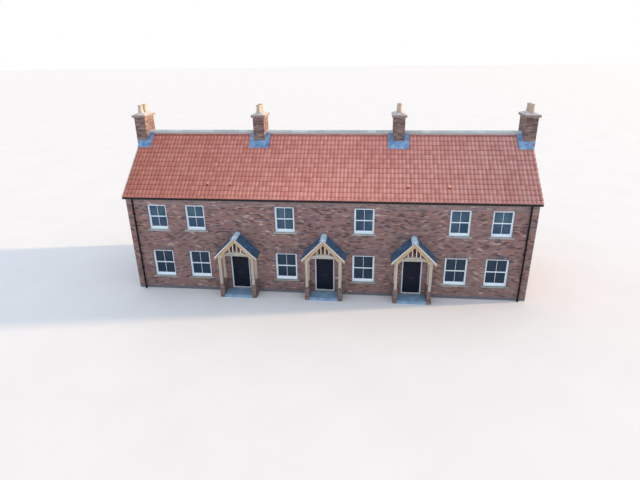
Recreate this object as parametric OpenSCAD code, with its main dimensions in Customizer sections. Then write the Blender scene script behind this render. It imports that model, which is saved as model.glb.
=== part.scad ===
// Row of three brick houses with a pantile roof and an oak framed porch at each front door.
// Millimetres. X runs along the row, the front faces -Y and the ground is Z = 0.

/* [Row] */
// Length of the row over the gable walls
row_length = 20640; // [20000:10:22000]
// Depth from the front wall face to the rear wall face
row_depth = 6400; // [6000:10:7000]
// Thickness of the outside walls
wall_t = 300; // [260:5:350]
// Thickness of the walls between the houses
party_t = 215; // [180:5:300]
// Distance from the middle of the row to each wall between houses
party_x = 3680; // [3600:10:3900]

/* [Levels] */
// Height of the ground floor over the ground
plinth_h = 150; // [100:5:250]
// Height from the ground floor to the first floor
storey_h = 2550; // [2500:10:2700]
// Thickness of the first floor
floor_t = 250; // [200:5:300]
// Height of the window and door heads over their floor
head_h = 2125; // [2090:5:2160]

/* [Windows] */
// Width of a ground floor window opening
lower_win_w = 1135; // [1000:5:1200]
// Height of a ground floor window opening
lower_win_h = 1500; // [1300:5:1600]
// Width of a first floor window opening
upper_win_w = 1010; // [900:5:1100]
// Height of a first floor window opening
upper_win_h = 1350; // [1200:5:1450]
// Distance from the middle of the row to the middle house's windows
middle_win_x = 2020; // [1900:10:2100]
// Distance from a gable face to its nearest window
gable_win_x = 1590; // [1500:10:1700]
// Distance between the two windows of an end house
win_spacing = 2020; // [1950:10:2100]
// Depth of the brick reveal in front of a window or door frame
reveal_d = 90; // [60:5:110]
// Face width of a window frame
frame_w = 55; // [40:1:70]
// Depth of a window frame
frame_d = 60; // [40:1:80]
// Height of the rail where the two sashes meet
meeting_rail_h = 45; // [35:1:60]
// Thickness of a window pane unit
glass_t = 20; // [12:1:28]
// Height of a stone sill
sill_h = 75; // [60:5:100]
// How far a sill runs into the wall beside its window
sill_over = 115; // [80:5:140]
// How far a sill stands out from the wall
sill_out = 45; // [30:5:70]

/* [Doors] */
// Distance from a wall between houses to the front door of an end house
door_off = 840; // [820:5:900]
// Width of a door opening
door_w = 1020; // [960:5:1060]
// Face width of a door frame
jamb_w = 60; // [50:1:75]
// Depth of a door frame
jamb_d = 100; // [90:1:120]
// How far the frame stops lap over a door
stop_lap = 15; // [10:1:25]
// Height of a door threshold
threshold_h = 30; // [20:1:40]
// Thickness of a door
leaf_t = 44; // [40:1:50]
// Gap round a door
leaf_gap = 8; // [7:0.5:12]
// Depth of the sunk door panels
panel_sink = 8; // [4:1:12]
// Radius of a hinge knuckle
knuckle_r = 6; // [5:0.5:7]
// Height of a hinge
hinge_h = 90; // [70:5:110]

/* [Roof] */
// Slope of the roof
roof_pitch = 39; // [38:0.5:42]
// Thickness of the roof with its rafters
roof_t = 180; // [150:5:220]
// Thickness of the tiles where they pass the wall
tile_t = 45; // [35:1:60]
// How far the tiles pass the front and rear walls
eave_out = 230; // [200:5:260]
// Height of the tile edge over the upper window heads
eave_rise = 435; // [400:5:480]
// How far the tiles pass the gable walls
verge_out = 90; // [60:5:110]
// Radius of the ridge tiles
ridge_r = 125; // [100:5:140]
// How far the ridge tile centre lies under the roof top
ridge_sink = 30; // [20:5:50]
// Width of a roof vent tile
vent_w = 180; // [140:5:280]
// Length of a roof vent tile down the slope
vent_l = 240; // [200:5:360]
// Height of a roof vent tile
vent_h = 60; // [40:5:100]

/* [Chimneys] */
// Width of a chimney stack along the row
stack_w = 580; // [520:5:640]
// Depth of a chimney stack
stack_d = 1115; // [1000:5:1200]
// Height of the brick stack over the roof top
stack_rise = 832; // [780:2:880]
// Distance of an end stack from the gable face, measured inwards to its middle
end_stack_inset = 110; // [80:5:150]
// How far a stack's capping course stands out
cap_out = 85; // [50:5:100]
// Height of the capping course
cap_h = 120; // [90:5:150]
// Height of the sloped mortar on the cap
flaunch_h = 95; // [70:5:130]
// Radius of a chimney pot at its foot
pot_r = 140; // [120:2:150]
// Radius of a chimney pot under its rim
pot_neck_r = 112; // [100:2:118]
// Height of a chimney pot
pot_h = 395; // [340:5:460]
// Distance between the two pots of a stack
pot_spacing = 500; // [450:5:560]
// Width of the lead beside and in front of a stack
lead_w = 250; // [200:5:300]
// Length of the lead below a stack, seen from above
apron_l = 320; // [300:5:450]
// Thickness of the lead work
lead_t = 12; // [8:1:20]

/* [Rainwater] */
// Depth of the fascia board behind a gutter
fascia_t = 50; // [25:1:60]
// Height of the fascia board
fascia_h = 130; // [100:5:180]
// Outside radius of a gutter
gutter_r = 58; // [50:1:65]
// Wall thickness of a gutter
gutter_t = 7; // [5:1:10]
// Radius of a downpipe
pipe_r = 42; // [34:1:45]
// Distance from a gable face to a downpipe
pipe_inset = 390; // [300:5:450]

/* [Porches] */
// Distance from the middle of a porch to its posts
post_x = 850; // [820:5:900]
// Width of a post
post_w = 140; // [120:5:150]
// Distance from the wall to the front of the posts
porch_d = 780; // [700:5:900]
// Height of a dwarf wall over the ground
dwarf_h = 775; // [650:5:850]
// Thickness of a dwarf wall
dwarf_t = 230; // [200:5:250]
// Slope of the porch roof
porch_pitch = 45.5; // [44:0.5:47]
// Height of the porch roof top over the ground floor
porch_rise = 3360; // [3300:5:3420]
// How far the porch roof passes the middle of its posts
eave_over = 285; // [270:5:340]
// Thickness of the slates and their battens
slate_t = 35; // [25:1:45]
// Thickness of the boarding under the slates
deck_t = 55; // [40:1:70]
// How far the slates pass the front of the posts
porch_out = 100; // [90:5:130]
// Depth of a principal rafter
rafter_h = 190; // [150:5:210]
// Thickness of the front truss
truss_t = 100; // [80:5:120]
// Height of a wall plate
plate_h = 120; // [100:5:140]
// Rise of the tie beam's arched top
tie_top_rise = 240; // [210:5:260]
// Rise of the tie beam's arched underside
tie_low_rise = 25; // [20:1:35]
// Height of the tie beam at its middle
tie_mid_h = 228; // [215:1:240]
// How far the middle of the tie beam's top lies under the roof top
tie_drop = 890; // [870:5:910]
// Width of a truss strut
strut_w = 48; // [40:1:60]
// Distance between the struts
strut_gap = 200; // [185:5:215]
// Depth of the barge board face
barge_h = 145; // [125:5:165]
// Depth of the strip on the barge board
strip_h = 70; // [50:5:80]
// Thickness of a barge board and of its strip
barge_t = 35; // [25:1:40]
// Width of a knee brace
brace_w = 45; // [35:1:55]
// How far a knee brace reaches down the post
brace_drop = 120; // [100:5:150]
// How far a knee brace reaches in from the post
brace_reach = 110; // [90:5:140]
// Half width of the lead over the porch ridge
cap_half = 155; // [130:5:175]
// Radius of the lead roll on the porch ridge
roll_r = 25; // [20:1:30]
// Height of the lead band up the wall over a porch roof
wall_lead_h = 50; // [40:5:80]

/* [Hidden] */
slack = 50;
seat_gap = 1;
bed_gap = 0.1;
half_l = row_length / 2;
half_d = row_depth / 2;
inner_x = half_l - wall_t;
inner_y = half_d - wall_t;
ground_top = plinth_h;
lower_head = ground_top + head_h;
first_top = ground_top + storey_h;
upper_head = first_top + head_h;
lower_sill = lower_head - lower_win_h;
upper_sill = upper_head - upper_win_h;
slope = tan(roof_pitch);
eave_y = half_d + eave_out;
ridge_z = upper_head + eave_rise + eave_y * slope;
roof_drop = roof_t / cos(roof_pitch);
tile_drop = tile_t / cos(roof_pitch);
verge_x = half_l + verge_out;
door_x = party_x + door_off;
door_xs = [-door_x, 0, door_x];
far_win_x = half_l - gable_win_x;
near_win_x = far_win_x - win_spacing;
win_xs = [-far_win_x, -near_win_x, -middle_win_x, middle_win_x, near_win_x, far_win_x];
end_stack_x = half_l - end_stack_inset;
stack_xs = [-end_stack_x, -party_x, party_x, end_stack_x];
stack_top = ridge_z + stack_rise;
stack_foot = roof_under(stack_d / 2) - slack * 6;
cap_top = stack_top + cap_h;
pot_foot = cap_top + flaunch_h;
pot_rim_h = pot_h / 7;
pot_wall = 22;
flue_depth = pot_h / 3;
corbel_h = 75;
corbel_steps = 3;
vent_xs = [-5960, -4790, 4140, 6120];
vent_y = -half_d + 450;
leaf_w = door_w - 2 * (jamb_w - stop_lap) - 2 * leaf_gap;
leaf_z0 = ground_top + threshold_h + leaf_gap;
leaf_z1 = lower_head - (jamb_w - stop_lap) - leaf_gap;
frame_y = -half_d + reveal_d;
leaf_y1 = frame_y + jamb_d - 2;
leaf_y0 = leaf_y1 - leaf_t;
hinge_y = leaf_y1 + 2 * knuckle_r;
hinge_leaf_w = 30;
hinge_rows = [0.1, 0.5, 0.9];
stop_d = jamb_d - leaf_t - leaf_gap;
gutter_rim = roof_top(half_d + fascia_t + 2 * gutter_r) - tile_drop - 12;
gutter_y = half_d + fascia_t + gutter_r;
pipe_x = half_l - pipe_inset;
clip_h = 40;
clip_n = 3;
wall_face = -half_d;
porch_slope = tan(porch_pitch);
porch_top = ground_top + porch_rise;
slate_drop = slate_t / cos(porch_pitch);
deck_drop = (slate_t + deck_t) / cos(porch_pitch);
rafter_drop = rafter_h / cos(porch_pitch);
post_y = wall_face - porch_d;
porch_half = post_x + eave_over;
slate_y = post_y - porch_out;
plate_top = porch_top - (post_x + post_w / 2) * porch_slope - deck_drop;
plate_low = plate_top - plate_h;
rafter_low = porch_top - deck_drop - rafter_drop;
tie_top = porch_top - tie_drop;
tie_low = tie_top - tie_mid_h;
tie_half = post_x - post_w / 2;
strut_xs = [-1.5 * strut_gap, -0.5 * strut_gap, 0.5 * strut_gap, 1.5 * strut_gap];
porch_lead_t = 8;
arch_fn = 360;
roll_step = 20;

// Heights of the main roof's top and underside at a distance y from the ridge
function roof_top(y) = ridge_z - abs(y) * slope;
function roof_under(y) = ridge_z - roof_drop - abs(y) * slope;
function wall_line(y) = roof_under(y) - bed_gap;

// Height of a porch roof plane at a distance x from its ridge
function porch_plane(x, drop) = porch_top - drop - abs(x) * porch_slope;

// Radius of an arc with this half chord and rise
function arc_radius(half, rise) = (half * half + rise * rise) / (2 * rise);

// Block between two corners
module block(a, b) {
  translate(a)
    cube([b[0] - a[0], b[1] - a[1], b[2] - a[2]]);
}

// Profile drawn in Y and Z, drawn out along X
module along_x(x0, x1) {
  translate([x0, 0, 0])
    rotate([90, 0, 90])
      linear_extrude(height = x1 - x0)
        children();
}

// Profile drawn in X and Z, drawn out along Y
module along_y(y0, y1) {
  translate([0, y1, 0])
    rotate([90, 0, 0])
      linear_extrude(height = y1 - y0)
        children();
}

// The same thing at each porch
module each_door() {
  for (x = door_xs)
    translate([x, 0, 0])
      children();
}

// The same thing on the front and on the rear
module front_and_rear() {
  children();
  mirror([0, 1, 0])
    children();
}

// Space of a window through the wall, with the pocket of its sill
module window_cut(x, w, head, sill) {
  block([x - w / 2, -half_d - slack, sill], [x + w / 2, -inner_y + slack, head]);
  sill_shape(x, w, sill);
}

// Stone sill of a window
module sill_shape(x, w, sill) {
  block([x - w / 2 - sill_over, -half_d - sill_out, sill - sill_h],
    [x + w / 2 + sill_over, frame_y + frame_d, sill]);
}

// Ground floor wall from x0 to x1 with its windows left out
module lower_wall(x0, x1) {
  difference() {
    block([x0, -half_d, 0], [x1, -inner_y, lower_head]);
    for (x = win_xs)
      if (x > x0 && x < x1)
        window_cut(x, lower_win_w, lower_head + slack, lower_sill);
  }
}

// First floor wall, cut to the slope of the roof at its top
module upper_wall() {
  difference() {
    along_x(-half_l, half_l)
      polygon([[-half_d, lower_head], [-inner_y, lower_head], [-inner_y, wall_line(inner_y)],
        [-half_d, wall_line(half_d)]]);
    for (x = win_xs)
      window_cut(x, upper_win_w, upper_head, upper_sill);
  }
}

module ground_floor() {
  color("#b9b2a6") {
    block([-inner_x, -inner_y, 0], [inner_x, inner_y, ground_top]);
    for (x = door_xs)
      block([x - door_w / 2, -half_d, 0], [x + door_w / 2, -inner_y, ground_top]);
  }
}

module first_floor() {
  z0 = first_top - floor_t;
  color("#c9b79a") {
    block([-inner_x, -inner_y, z0], [-party_x - party_t / 2, inner_y, first_top]);
    block([-party_x + party_t / 2, -inner_y, z0], [party_x - party_t / 2, inner_y, first_top]);
    block([party_x + party_t / 2, -inner_y, z0], [inner_x, inner_y, first_top]);
  }
}

module front_wall_a() {
  color("#8d5b4c") lower_wall(-half_l, -door_x - door_w / 2);
}

module front_wall_b() {
  color("#8d5b4c") lower_wall(-door_x + door_w / 2, -door_w / 2);
}

module front_wall_c() {
  color("#8d5b4c") lower_wall(door_w / 2, door_x - door_w / 2);
}

module front_wall_d() {
  color("#8d5b4c") lower_wall(door_x + door_w / 2, half_l);
}

module front_wall_upper() {
  color("#8d5b4c") upper_wall();
}

module rear_wall_lower() {
  color("#8d5b4c")
    mirror([0, 1, 0])
      difference() {
        lower_wall(-half_l, half_l);
        for (x = door_xs)
          block([x - door_w / 2, -half_d - slack, ground_top],
            [x + door_w / 2, -inner_y + slack, lower_head + slack]);
      }
}

module rear_wall_upper() {
  color("#8d5b4c") mirror([0, 1, 0]) upper_wall();
}

// Upright wall across the row, shaped to the roof, with a level seat for its chimney stack
module cross_wall(x0, x1, z0) {
  difference() {
    along_x(x0, x1)
      polygon([[-inner_y, z0], [inner_y, z0], [inner_y, wall_line(inner_y)], [0, wall_line(0)],
        [-inner_y, wall_line(inner_y)]]);
    block([x0 - slack, -stack_d / 2, stack_foot], [x1 + slack, stack_d / 2, ridge_z]);
  }
}

module gable_walls() {
  color("#8d5b4c") {
    cross_wall(-half_l, -inner_x, 0);
    cross_wall(inner_x, half_l, 0);
  }
}

module party_walls() {
  color("#b08a7c")
    for (x = [-party_x, party_x])
      cross_wall(x - party_t / 2, x + party_t / 2, ground_top);
}

// Space of the four stacks through the roof
module stack_cuts() {
  for (x = stack_xs)
    block([x - stack_w / 2, -stack_d / 2, stack_foot - slack],
      [x + stack_w / 2, stack_d / 2, stack_top]);
}

// Front slope: rafters behind the wall face and tiles alone in front of it
module roof_slope() {
  difference() {
    along_x(-verge_x, verge_x)
      polygon([[-eave_y, roof_top(eave_y)], [0, ridge_z], [0, ridge_z - roof_drop],
        [-half_d, roof_under(half_d)], [-half_d, roof_top(half_d) - tile_drop],
        [-eave_y, roof_top(eave_y) - tile_drop]]);
    stack_cuts();
  }
}

module roof_front() {
  color("#c4654a") roof_slope();
}

module roof_rear() {
  color("#c4654a") mirror([0, 1, 0]) roof_slope();
}

// Half round tiles over the roof top, from stack to stack
module ridge_tiles() {
  color("#b7b9ac")
    for (i = [0 : len(stack_xs) - 2])
      difference() {
        translate([stack_xs[i] + stack_w / 2, 0, ridge_z - ridge_sink])
          rotate([0, 90, 0])
            cylinder(h = stack_xs[i + 1] - stack_xs[i] - stack_w, r = ridge_r);
        along_x(-half_l, half_l)
          polygon([[-half_d, roof_top(half_d) + seat_gap], [0, ridge_z + seat_gap],
            [half_d, roof_top(half_d) + seat_gap]]);
      }
}

// Stack on its wall, with stepped courses under the part outside a gable
module chimney_stacks() {
  step = (end_stack_x + stack_w / 2 - half_l) / corbel_steps;
  color("#96604f") {
    for (x = stack_xs)
      block([x - stack_w / 2, -stack_d / 2, stack_foot], [x + stack_w / 2, stack_d / 2, stack_top]);
    for (s = [0, 1])
      mirror([s, 0, 0])
        for (i = [1 : corbel_steps])
          block([half_l, -stack_d / 2, stack_foot - corbel_h * i],
            [half_l + step * (corbel_steps + 1 - i), stack_d / 2, stack_foot - corbel_h * (i - 1)]);
  }
}

// Capping course with mortar sloped up to the pots
module chimney_caps() {
  wide = stack_w / 2 + cap_out;
  deep = stack_d / 2 + cap_out;
  seat = pot_r + 12;
  long_seat = pot_spacing / 2 + seat;
  color("#cfc8bb")
    for (x = stack_xs)
      translate([x, 0, 0])
        intersection() {
          along_y(-deep, deep)
            polygon([[-wide, stack_top], [wide, stack_top], [wide, cap_top], [seat, pot_foot],
              [-seat, pot_foot], [-wide, cap_top]]);
          along_x(-wide, wide)
            polygon([[-deep, stack_top], [deep, stack_top], [deep, cap_top], [long_seat, pot_foot],
              [-long_seat, pot_foot], [-deep, cap_top]]);
        }
}

// Tapered pots with a rim, two on each stack
module chimney_pots() {
  color("#d2b48c")
    for (i = [0 : len(stack_xs) - 1])
      for (side = [-1, 1])
        translate([stack_xs[i], side * pot_spacing / 2, pot_foot])
          rotate_extrude()
            polygon([[0, 0], [pot_r, 0], [pot_r, pot_rim_h], [pot_neck_r, pot_h - pot_rim_h],
              [pot_neck_r + pot_wall, pot_h - pot_rim_h], [pot_neck_r + pot_wall, pot_h],
              [pot_neck_r - pot_wall, pot_h], [pot_neck_r - pot_wall, pot_h - flue_depth],
              [0, pot_h - flue_depth]]);
}

// Lead laid on the slopes round each stack
module chimney_leads() {
  reach = stack_d / 2 + apron_l;
  color("#8f9fb0")
    difference() {
      intersection() {
        along_x(-verge_x, verge_x)
          polygon([[-reach, roof_top(reach) + seat_gap], [0, ridge_z + seat_gap],
            [reach, roof_top(reach) + seat_gap], [reach, roof_top(reach) + lead_t],
            [0, ridge_z + lead_t], [-reach, roof_top(reach) + lead_t]]);
        for (x = stack_xs)
          block([x - stack_w / 2 - lead_w, -half_d, 0], [x + stack_w / 2 + lead_w, half_d, stack_top]);
      }
      stack_cuts();
      translate([-verge_x, 0, ridge_z - ridge_sink])
        rotate([0, 90, 0])
          cylinder(h = 2 * verge_x, r = ridge_r);
    }
}

// Vent tiles, raised at the back of the hood and open to the eaves
module roof_vents() {
  y1 = vent_y + vent_l * cos(roof_pitch);
  color("#b85c44")
    for (x = vent_xs)
      along_x(x - vent_w / 2, x + vent_w / 2)
        polygon([[vent_y, roof_top(vent_y) + bed_gap], [y1, roof_top(y1) + bed_gap],
          [vent_y, roof_top(vent_y) + vent_h]]);
}

module fascias() {
  z1 = roof_top(half_d + fascia_t) - tile_drop - lead_t;
  color("#23242a")
    front_and_rear()
      block([-half_l, -half_d - fascia_t, z1 - fascia_h], [half_l, -half_d, z1]);
}

// Half round gutters under the tile edges
module gutters() {
  color("#1d1e22")
    front_and_rear()
      difference() {
        union() {
          translate([-verge_x, -gutter_y, gutter_rim - gutter_r])
            rotate([0, 90, 0])
              cylinder(h = 2 * verge_x, r = gutter_r);
          block([-verge_x, -gutter_y - gutter_r, gutter_rim - gutter_r],
            [verge_x, -gutter_y + gutter_r, gutter_rim]);
        }
        translate([-verge_x + gutter_t, -gutter_y, gutter_rim - gutter_r])
          rotate([0, 90, 0])
            cylinder(h = 2 * (verge_x - gutter_t), r = gutter_r - gutter_t);
        block([-verge_x + gutter_t, -gutter_y - gutter_r + gutter_t, gutter_rim - gutter_r],
          [verge_x - gutter_t, -gutter_y + gutter_r - gutter_t, gutter_rim + slack]);
      }
}

// Downpipes with their wall clips
module downpipes() {
  top = gutter_rim - 2 * gutter_r;
  color("#1d1e22")
    front_and_rear()
      for (x = [-pipe_x, pipe_x]) {
        difference() {
          translate([x, -gutter_y, 0])
            cylinder(h = top + gutter_r / 2, r = pipe_r);
          translate([-verge_x, -gutter_y, gutter_rim - gutter_r])
            rotate([0, 90, 0])
              cylinder(h = 2 * verge_x, r = gutter_r);
        }
        for (i = [1 : clip_n])
          block([x - pipe_r, -gutter_y, top * i / (clip_n + 1)],
            [x + pipe_r, -half_d, top * i / (clip_n + 1) + clip_h]);
      }
}

module window_sills() {
  color("#b8b0a0")
    front_and_rear()
      for (x = win_xs) {
        sill_shape(x, lower_win_w, lower_sill);
        sill_shape(x, upper_win_w, upper_sill);
      }
}

// Frame of one window with the rail where its sashes meet
module window_frame(x, w, head, sill) {
  mid = (head + sill) / 2;
  difference() {
    block([x - w / 2, frame_y, sill], [x + w / 2, frame_y + frame_d, head]);
    block([x - w / 2 + frame_w, frame_y - slack, sill + frame_w],
      [x + w / 2 - frame_w, frame_y + frame_d + slack, mid - meeting_rail_h / 2]);
    block([x - w / 2 + frame_w, frame_y - slack, mid + meeting_rail_h / 2],
      [x + w / 2 - frame_w, frame_y + frame_d + slack, head - frame_w]);
  }
}

module window_frames() {
  for (x = win_xs) {
    window_frame(x, lower_win_w, lower_head, lower_sill);
    window_frame(x, upper_win_w, upper_head, upper_sill);
  }
}

module window_frames_front() {
  color("#e9edf0") window_frames();
}

module window_frames_rear() {
  color("#e9edf0") mirror([0, 1, 0]) window_frames();
}

// Pane of one window, bedded on the back of its frame
module pane(x, w, head, sill) {
  block([x - w / 2, frame_y + frame_d, sill], [x + w / 2, frame_y + frame_d + glass_t, head]);
}

module panes() {
  for (x = win_xs) {
    pane(x, lower_win_w, lower_head, lower_sill);
    pane(x, upper_win_w, upper_head, upper_sill);
  }
}

module glass_front() {
  color("#39474f") panes();
}

module glass_rear() {
  color("#39474f") mirror([0, 1, 0]) panes();
}

// Door frame with stops outside the door and a threshold
module door_frame() {
  y1 = frame_y + jamb_d;
  difference() {
    block([-door_w / 2, frame_y, ground_top], [door_w / 2, y1, lower_head]);
    block([-door_w / 2 + jamb_w, frame_y - slack, ground_top + threshold_h],
      [door_w / 2 - jamb_w, y1 + slack, lower_head - jamb_w]);
    block([-leaf_w / 2 - leaf_gap, frame_y + stop_d, ground_top + threshold_h],
      [leaf_w / 2 + leaf_gap, y1 + slack, leaf_z1 + leaf_gap]);
  }
}

module door_frames() {
  color("#e9edf0") each_door() door_frame();
}

module rear_door_frames() {
  color("#e9edf0") mirror([0, 1, 0]) each_door() door_frame();
}

// Door with six sunk panels on its outer face and three hinges on its inner face
module door_leaf() {
  stile = leaf_w / 8;
  panel_w = (leaf_w - 3 * stile) / 2;
  rows = [[0.09, 0.42], [0.48, 0.8], [0.85, 0.945]];
  leaf_h = leaf_z1 - leaf_z0;
  difference() {
    block([-leaf_w / 2, leaf_y0, leaf_z0], [leaf_w / 2, leaf_y1, leaf_z1]);
    for (s = [-1, 1])
      for (r = rows)
        translate([s * (panel_w + stile) / 2, leaf_y0, leaf_z0 + leaf_h * (r[0] + r[1]) / 2])
          cube([panel_w, 2 * panel_sink, leaf_h * (r[1] - r[0])], center = true);
  }
  for (r = hinge_rows)
    translate([-leaf_w / 2, hinge_y, leaf_z0 + leaf_h * r - hinge_h / 2]) {
      cylinder(h = hinge_h, r = knuckle_r);
      translate([0, leaf_y1 - hinge_y, 0])
        cube([hinge_leaf_w, hinge_y - leaf_y1, hinge_h]);
    }
}

module door_left() {
  color("#171a22") translate([-door_x, 0, 0]) door_leaf();
}

module door_middle() {
  color("#171a22") door_leaf();
}

module door_right() {
  color("#171a22") translate([door_x, 0, 0]) door_leaf();
}

// Rear doors, fixed, filling their frames
module rear_doors() {
  color("#171a22")
    mirror([0, 1, 0])
      each_door()
        block([-leaf_w / 2 - leaf_gap, frame_y + stop_d, ground_top + threshold_h],
          [leaf_w / 2 + leaf_gap, frame_y + stop_d + leaf_t, leaf_z1 + leaf_gap]);
}

module porch_floors() {
  w = post_x - dwarf_t / 2;
  color("#a9a69d")
    each_door()
      block([-w, post_y, 0], [w, wall_face, ground_top]);
}

module porch_dwarf_walls() {
  color("#96604f")
    each_door()
      for (x = [-post_x, post_x])
        block([x - dwarf_t / 2, post_y, 0], [x + dwarf_t / 2, wall_face, dwarf_h]);
}

// Front posts and half posts against the wall
module porch_posts() {
  color("#c79a5b")
    each_door()
      for (x = [-post_x, post_x]) {
        block([x - post_w / 2, post_y, dwarf_h], [x + post_w / 2, post_y + post_w, plate_low]);
        block([x - post_w / 2, wall_face - post_w / 2, dwarf_h],
          [x + post_w / 2, wall_face, plate_low]);
      }
}

module plate_shape(x) {
  block([x - post_w / 2, post_y, plate_low], [x + post_w / 2, wall_face, plate_top]);
}

module porch_plates() {
  color("#c79a5b") each_door() for (x = [-post_x, post_x]) plate_shape(x);
}

// Outline under the principal rafters of a porch, from the tie beam level up
module under_rafters() {
  along_y(post_y - slack, wall_face)
    polygon([[-porch_half, porch_plane(porch_half, deck_drop + rafter_drop)], [0, rafter_low],
      [porch_half, porch_plane(porch_half, deck_drop + rafter_drop)], [porch_half, ground_top],
      [-porch_half, ground_top]]);
}

// Wide arch along Y from y0 to y1 whose top touches z at the middle of a porch
module arch(half, rise, z, y0, y1) {
  r = arc_radius(half, rise);
  translate([0, y1, z - r])
    rotate([90, 0, 0])
      cylinder(h = y1 - y0, r = r, $fn = arch_fn);
}

// Tie beam arched above and, less strongly, below
module tie_beam() {
  y1 = post_y + truss_t;
  intersection() {
    under_rafters();
    difference() {
      arch(tie_half, tie_top_rise, tie_top, post_y, y1);
      arch(tie_half, tie_low_rise, tie_low, post_y - slack, y1 + slack);
    }
    block([-tie_half, post_y, plate_low], [tie_half, y1, porch_top]);
  }
}

module porch_tie_beams() {
  color("#c79a5b") each_door() tie_beam();
}

// Upright struts from the tie beam to the rafters
module porch_struts() {
  color("#c79a5b")
    each_door()
      difference() {
        intersection() {
          under_rafters();
          for (x = strut_xs)
            block([x - strut_w / 2, post_y + truss_t / 4, tie_low],
              [x + strut_w / 2, post_y + truss_t * 3 / 4, porch_top]);
        }
        arch(tie_half, tie_top_rise, tie_top + seat_gap, post_y - slack, wall_face);
      }
}

// Principal rafters, notched over the wall plates
module porch_rafters() {
  x1 = post_x + post_w / 2;
  color("#c79a5b")
    each_door()
      for (s = [0, 1])
        mirror([s, 0, 0])
          difference() {
            along_y(post_y, post_y + truss_t)
              polygon([[0, rafter_low], [0, rafter_low + rafter_drop - seat_gap],
                [x1, plate_top - seat_gap], [x1, plate_top - rafter_drop]]);
            block([tie_half, post_y - slack, ground_top], [porch_half, wall_face, plate_top]);
          }
}

// Knee braces between the posts and the tie beam
module porch_braces() {
  x1 = tie_half;
  z1 = plate_low;
  color("#c79a5b")
    each_door()
      for (s = [0, 1])
        mirror([s, 0, 0])
          difference() {
            intersection() {
              under_rafters();
              along_y(post_y + truss_t / 4, post_y + truss_t * 3 / 4)
                polygon([[x1, z1 - brace_drop], [x1, z1 - brace_drop + brace_w * 2],
                  [x1 - brace_reach + brace_w, z1 + plate_h * 2],
                  [x1 - brace_reach - brace_w, z1 + plate_h * 2],
                  [x1 - brace_reach - brace_w / 2, z1]]);
            }
            difference() {
              block([-porch_half, post_y - slack, ground_top], [porch_half, wall_face, porch_top]);
              arch(tie_half, tie_low_rise, tie_low - seat_gap, post_y - 2 * slack, wall_face + slack);
            }
          }
}

// Band under a porch roof plane, from one depth to another, on both slopes
module slope_band(y0, y1, top_drop, low_drop, half) {
  along_y(y0, y1)
    polygon([[-half, porch_plane(half, top_drop)], [0, porch_top - top_drop],
      [half, porch_plane(half, top_drop)], [half, porch_plane(half, low_drop)],
      [0, porch_top - low_drop], [-half, porch_plane(half, low_drop)]]);
}

module porch_barge_boards() {
  low = slate_drop + barge_h / cos(porch_pitch);
  y1 = post_y;
  color("#cfa566")
    each_door()
      slope_band(y1 - barge_t, y1, slate_drop + bed_gap, low, porch_half - slate_t);
}

module porch_strips() {
  low = slate_drop + strip_h / cos(porch_pitch);
  y1 = post_y - barge_t;
  color("#dcc7a0")
    each_door()
      slope_band(y1 - barge_t, y1, slate_drop + bed_gap, low, porch_half - slate_t);
}

// Slates over their boarding; the slates alone pass over the barge boards
module porch_roofs() {
  color("#34425c")
    each_door() {
      slope_band(slate_y, wall_face, 0, slate_drop, porch_half);
      slope_band(post_y, wall_face, slate_drop / 2, deck_drop, porch_half - slate_t);
    }
}

// Outline of the lead cap over a porch ridge, with its round roll on top
function lead_cap_profile(z) = concat(
  [[-cap_half, porch_plane(cap_half, -seat_gap)], [0, porch_top + seat_gap],
    [cap_half, porch_plane(cap_half, -seat_gap)], [cap_half, porch_plane(cap_half, -z)],
    [roll_r, porch_plane(roll_r, -z)]],
  [for (a = [0 : roll_step : 180]) [roll_r * cos(a), porch_top + z + roll_r * sin(a)]],
  [[-roll_r, porch_plane(roll_r, -z)], [-cap_half, porch_plane(cap_half, -z)]]);

// Lead cap on the porch ridge, and the lead band up the wall
module porch_leads() {
  color("#9fb0c4")
    each_door() {
      along_y(slate_y, wall_face)
        polygon(lead_cap_profile(porch_lead_t / cos(porch_pitch)));
      slope_band(wall_face - porch_lead_t, wall_face, -wall_lead_h, -seat_gap, porch_half);
    }
}

ground_floor();
first_floor();
front_wall_a();
front_wall_b();
front_wall_c();
front_wall_d();
front_wall_upper();
rear_wall_lower();
rear_wall_upper();
gable_walls();
party_walls();
roof_front();
roof_rear();
ridge_tiles();
chimney_stacks();
chimney_caps();
chimney_pots();
chimney_leads();
roof_vents();
fascias();
gutters();
downpipes();
window_sills();
window_frames_front();
window_frames_rear();
glass_front();
glass_rear();
door_frames();
rear_door_frames();
rear_doors();
door_left();
door_middle();
door_right();
porch_floors();
porch_dwarf_walls();
porch_posts();
porch_plates();
porch_tie_beams();
porch_struts();
porch_rafters();
porch_braces();
porch_barge_boards();
porch_strips();
porch_roofs();
porch_leads();
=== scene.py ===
import bpy
import math
import random
from mathutils import Matrix, Vector


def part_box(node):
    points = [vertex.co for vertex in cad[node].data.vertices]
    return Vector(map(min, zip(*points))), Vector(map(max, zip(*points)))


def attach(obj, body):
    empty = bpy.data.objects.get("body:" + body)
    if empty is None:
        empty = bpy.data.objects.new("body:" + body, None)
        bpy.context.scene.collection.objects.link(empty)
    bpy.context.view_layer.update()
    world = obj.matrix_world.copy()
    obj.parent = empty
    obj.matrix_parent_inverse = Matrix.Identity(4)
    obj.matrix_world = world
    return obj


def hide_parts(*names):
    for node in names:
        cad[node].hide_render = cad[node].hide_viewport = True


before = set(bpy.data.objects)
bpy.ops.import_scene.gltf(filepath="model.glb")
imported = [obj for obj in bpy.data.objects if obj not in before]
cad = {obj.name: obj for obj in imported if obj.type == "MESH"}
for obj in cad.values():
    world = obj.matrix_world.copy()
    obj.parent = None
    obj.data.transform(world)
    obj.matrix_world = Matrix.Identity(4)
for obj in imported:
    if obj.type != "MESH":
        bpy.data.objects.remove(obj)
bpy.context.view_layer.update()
scene = bpy.context.scene
scene.view_settings.view_transform = "Standard"
print("frame loaded")

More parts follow.
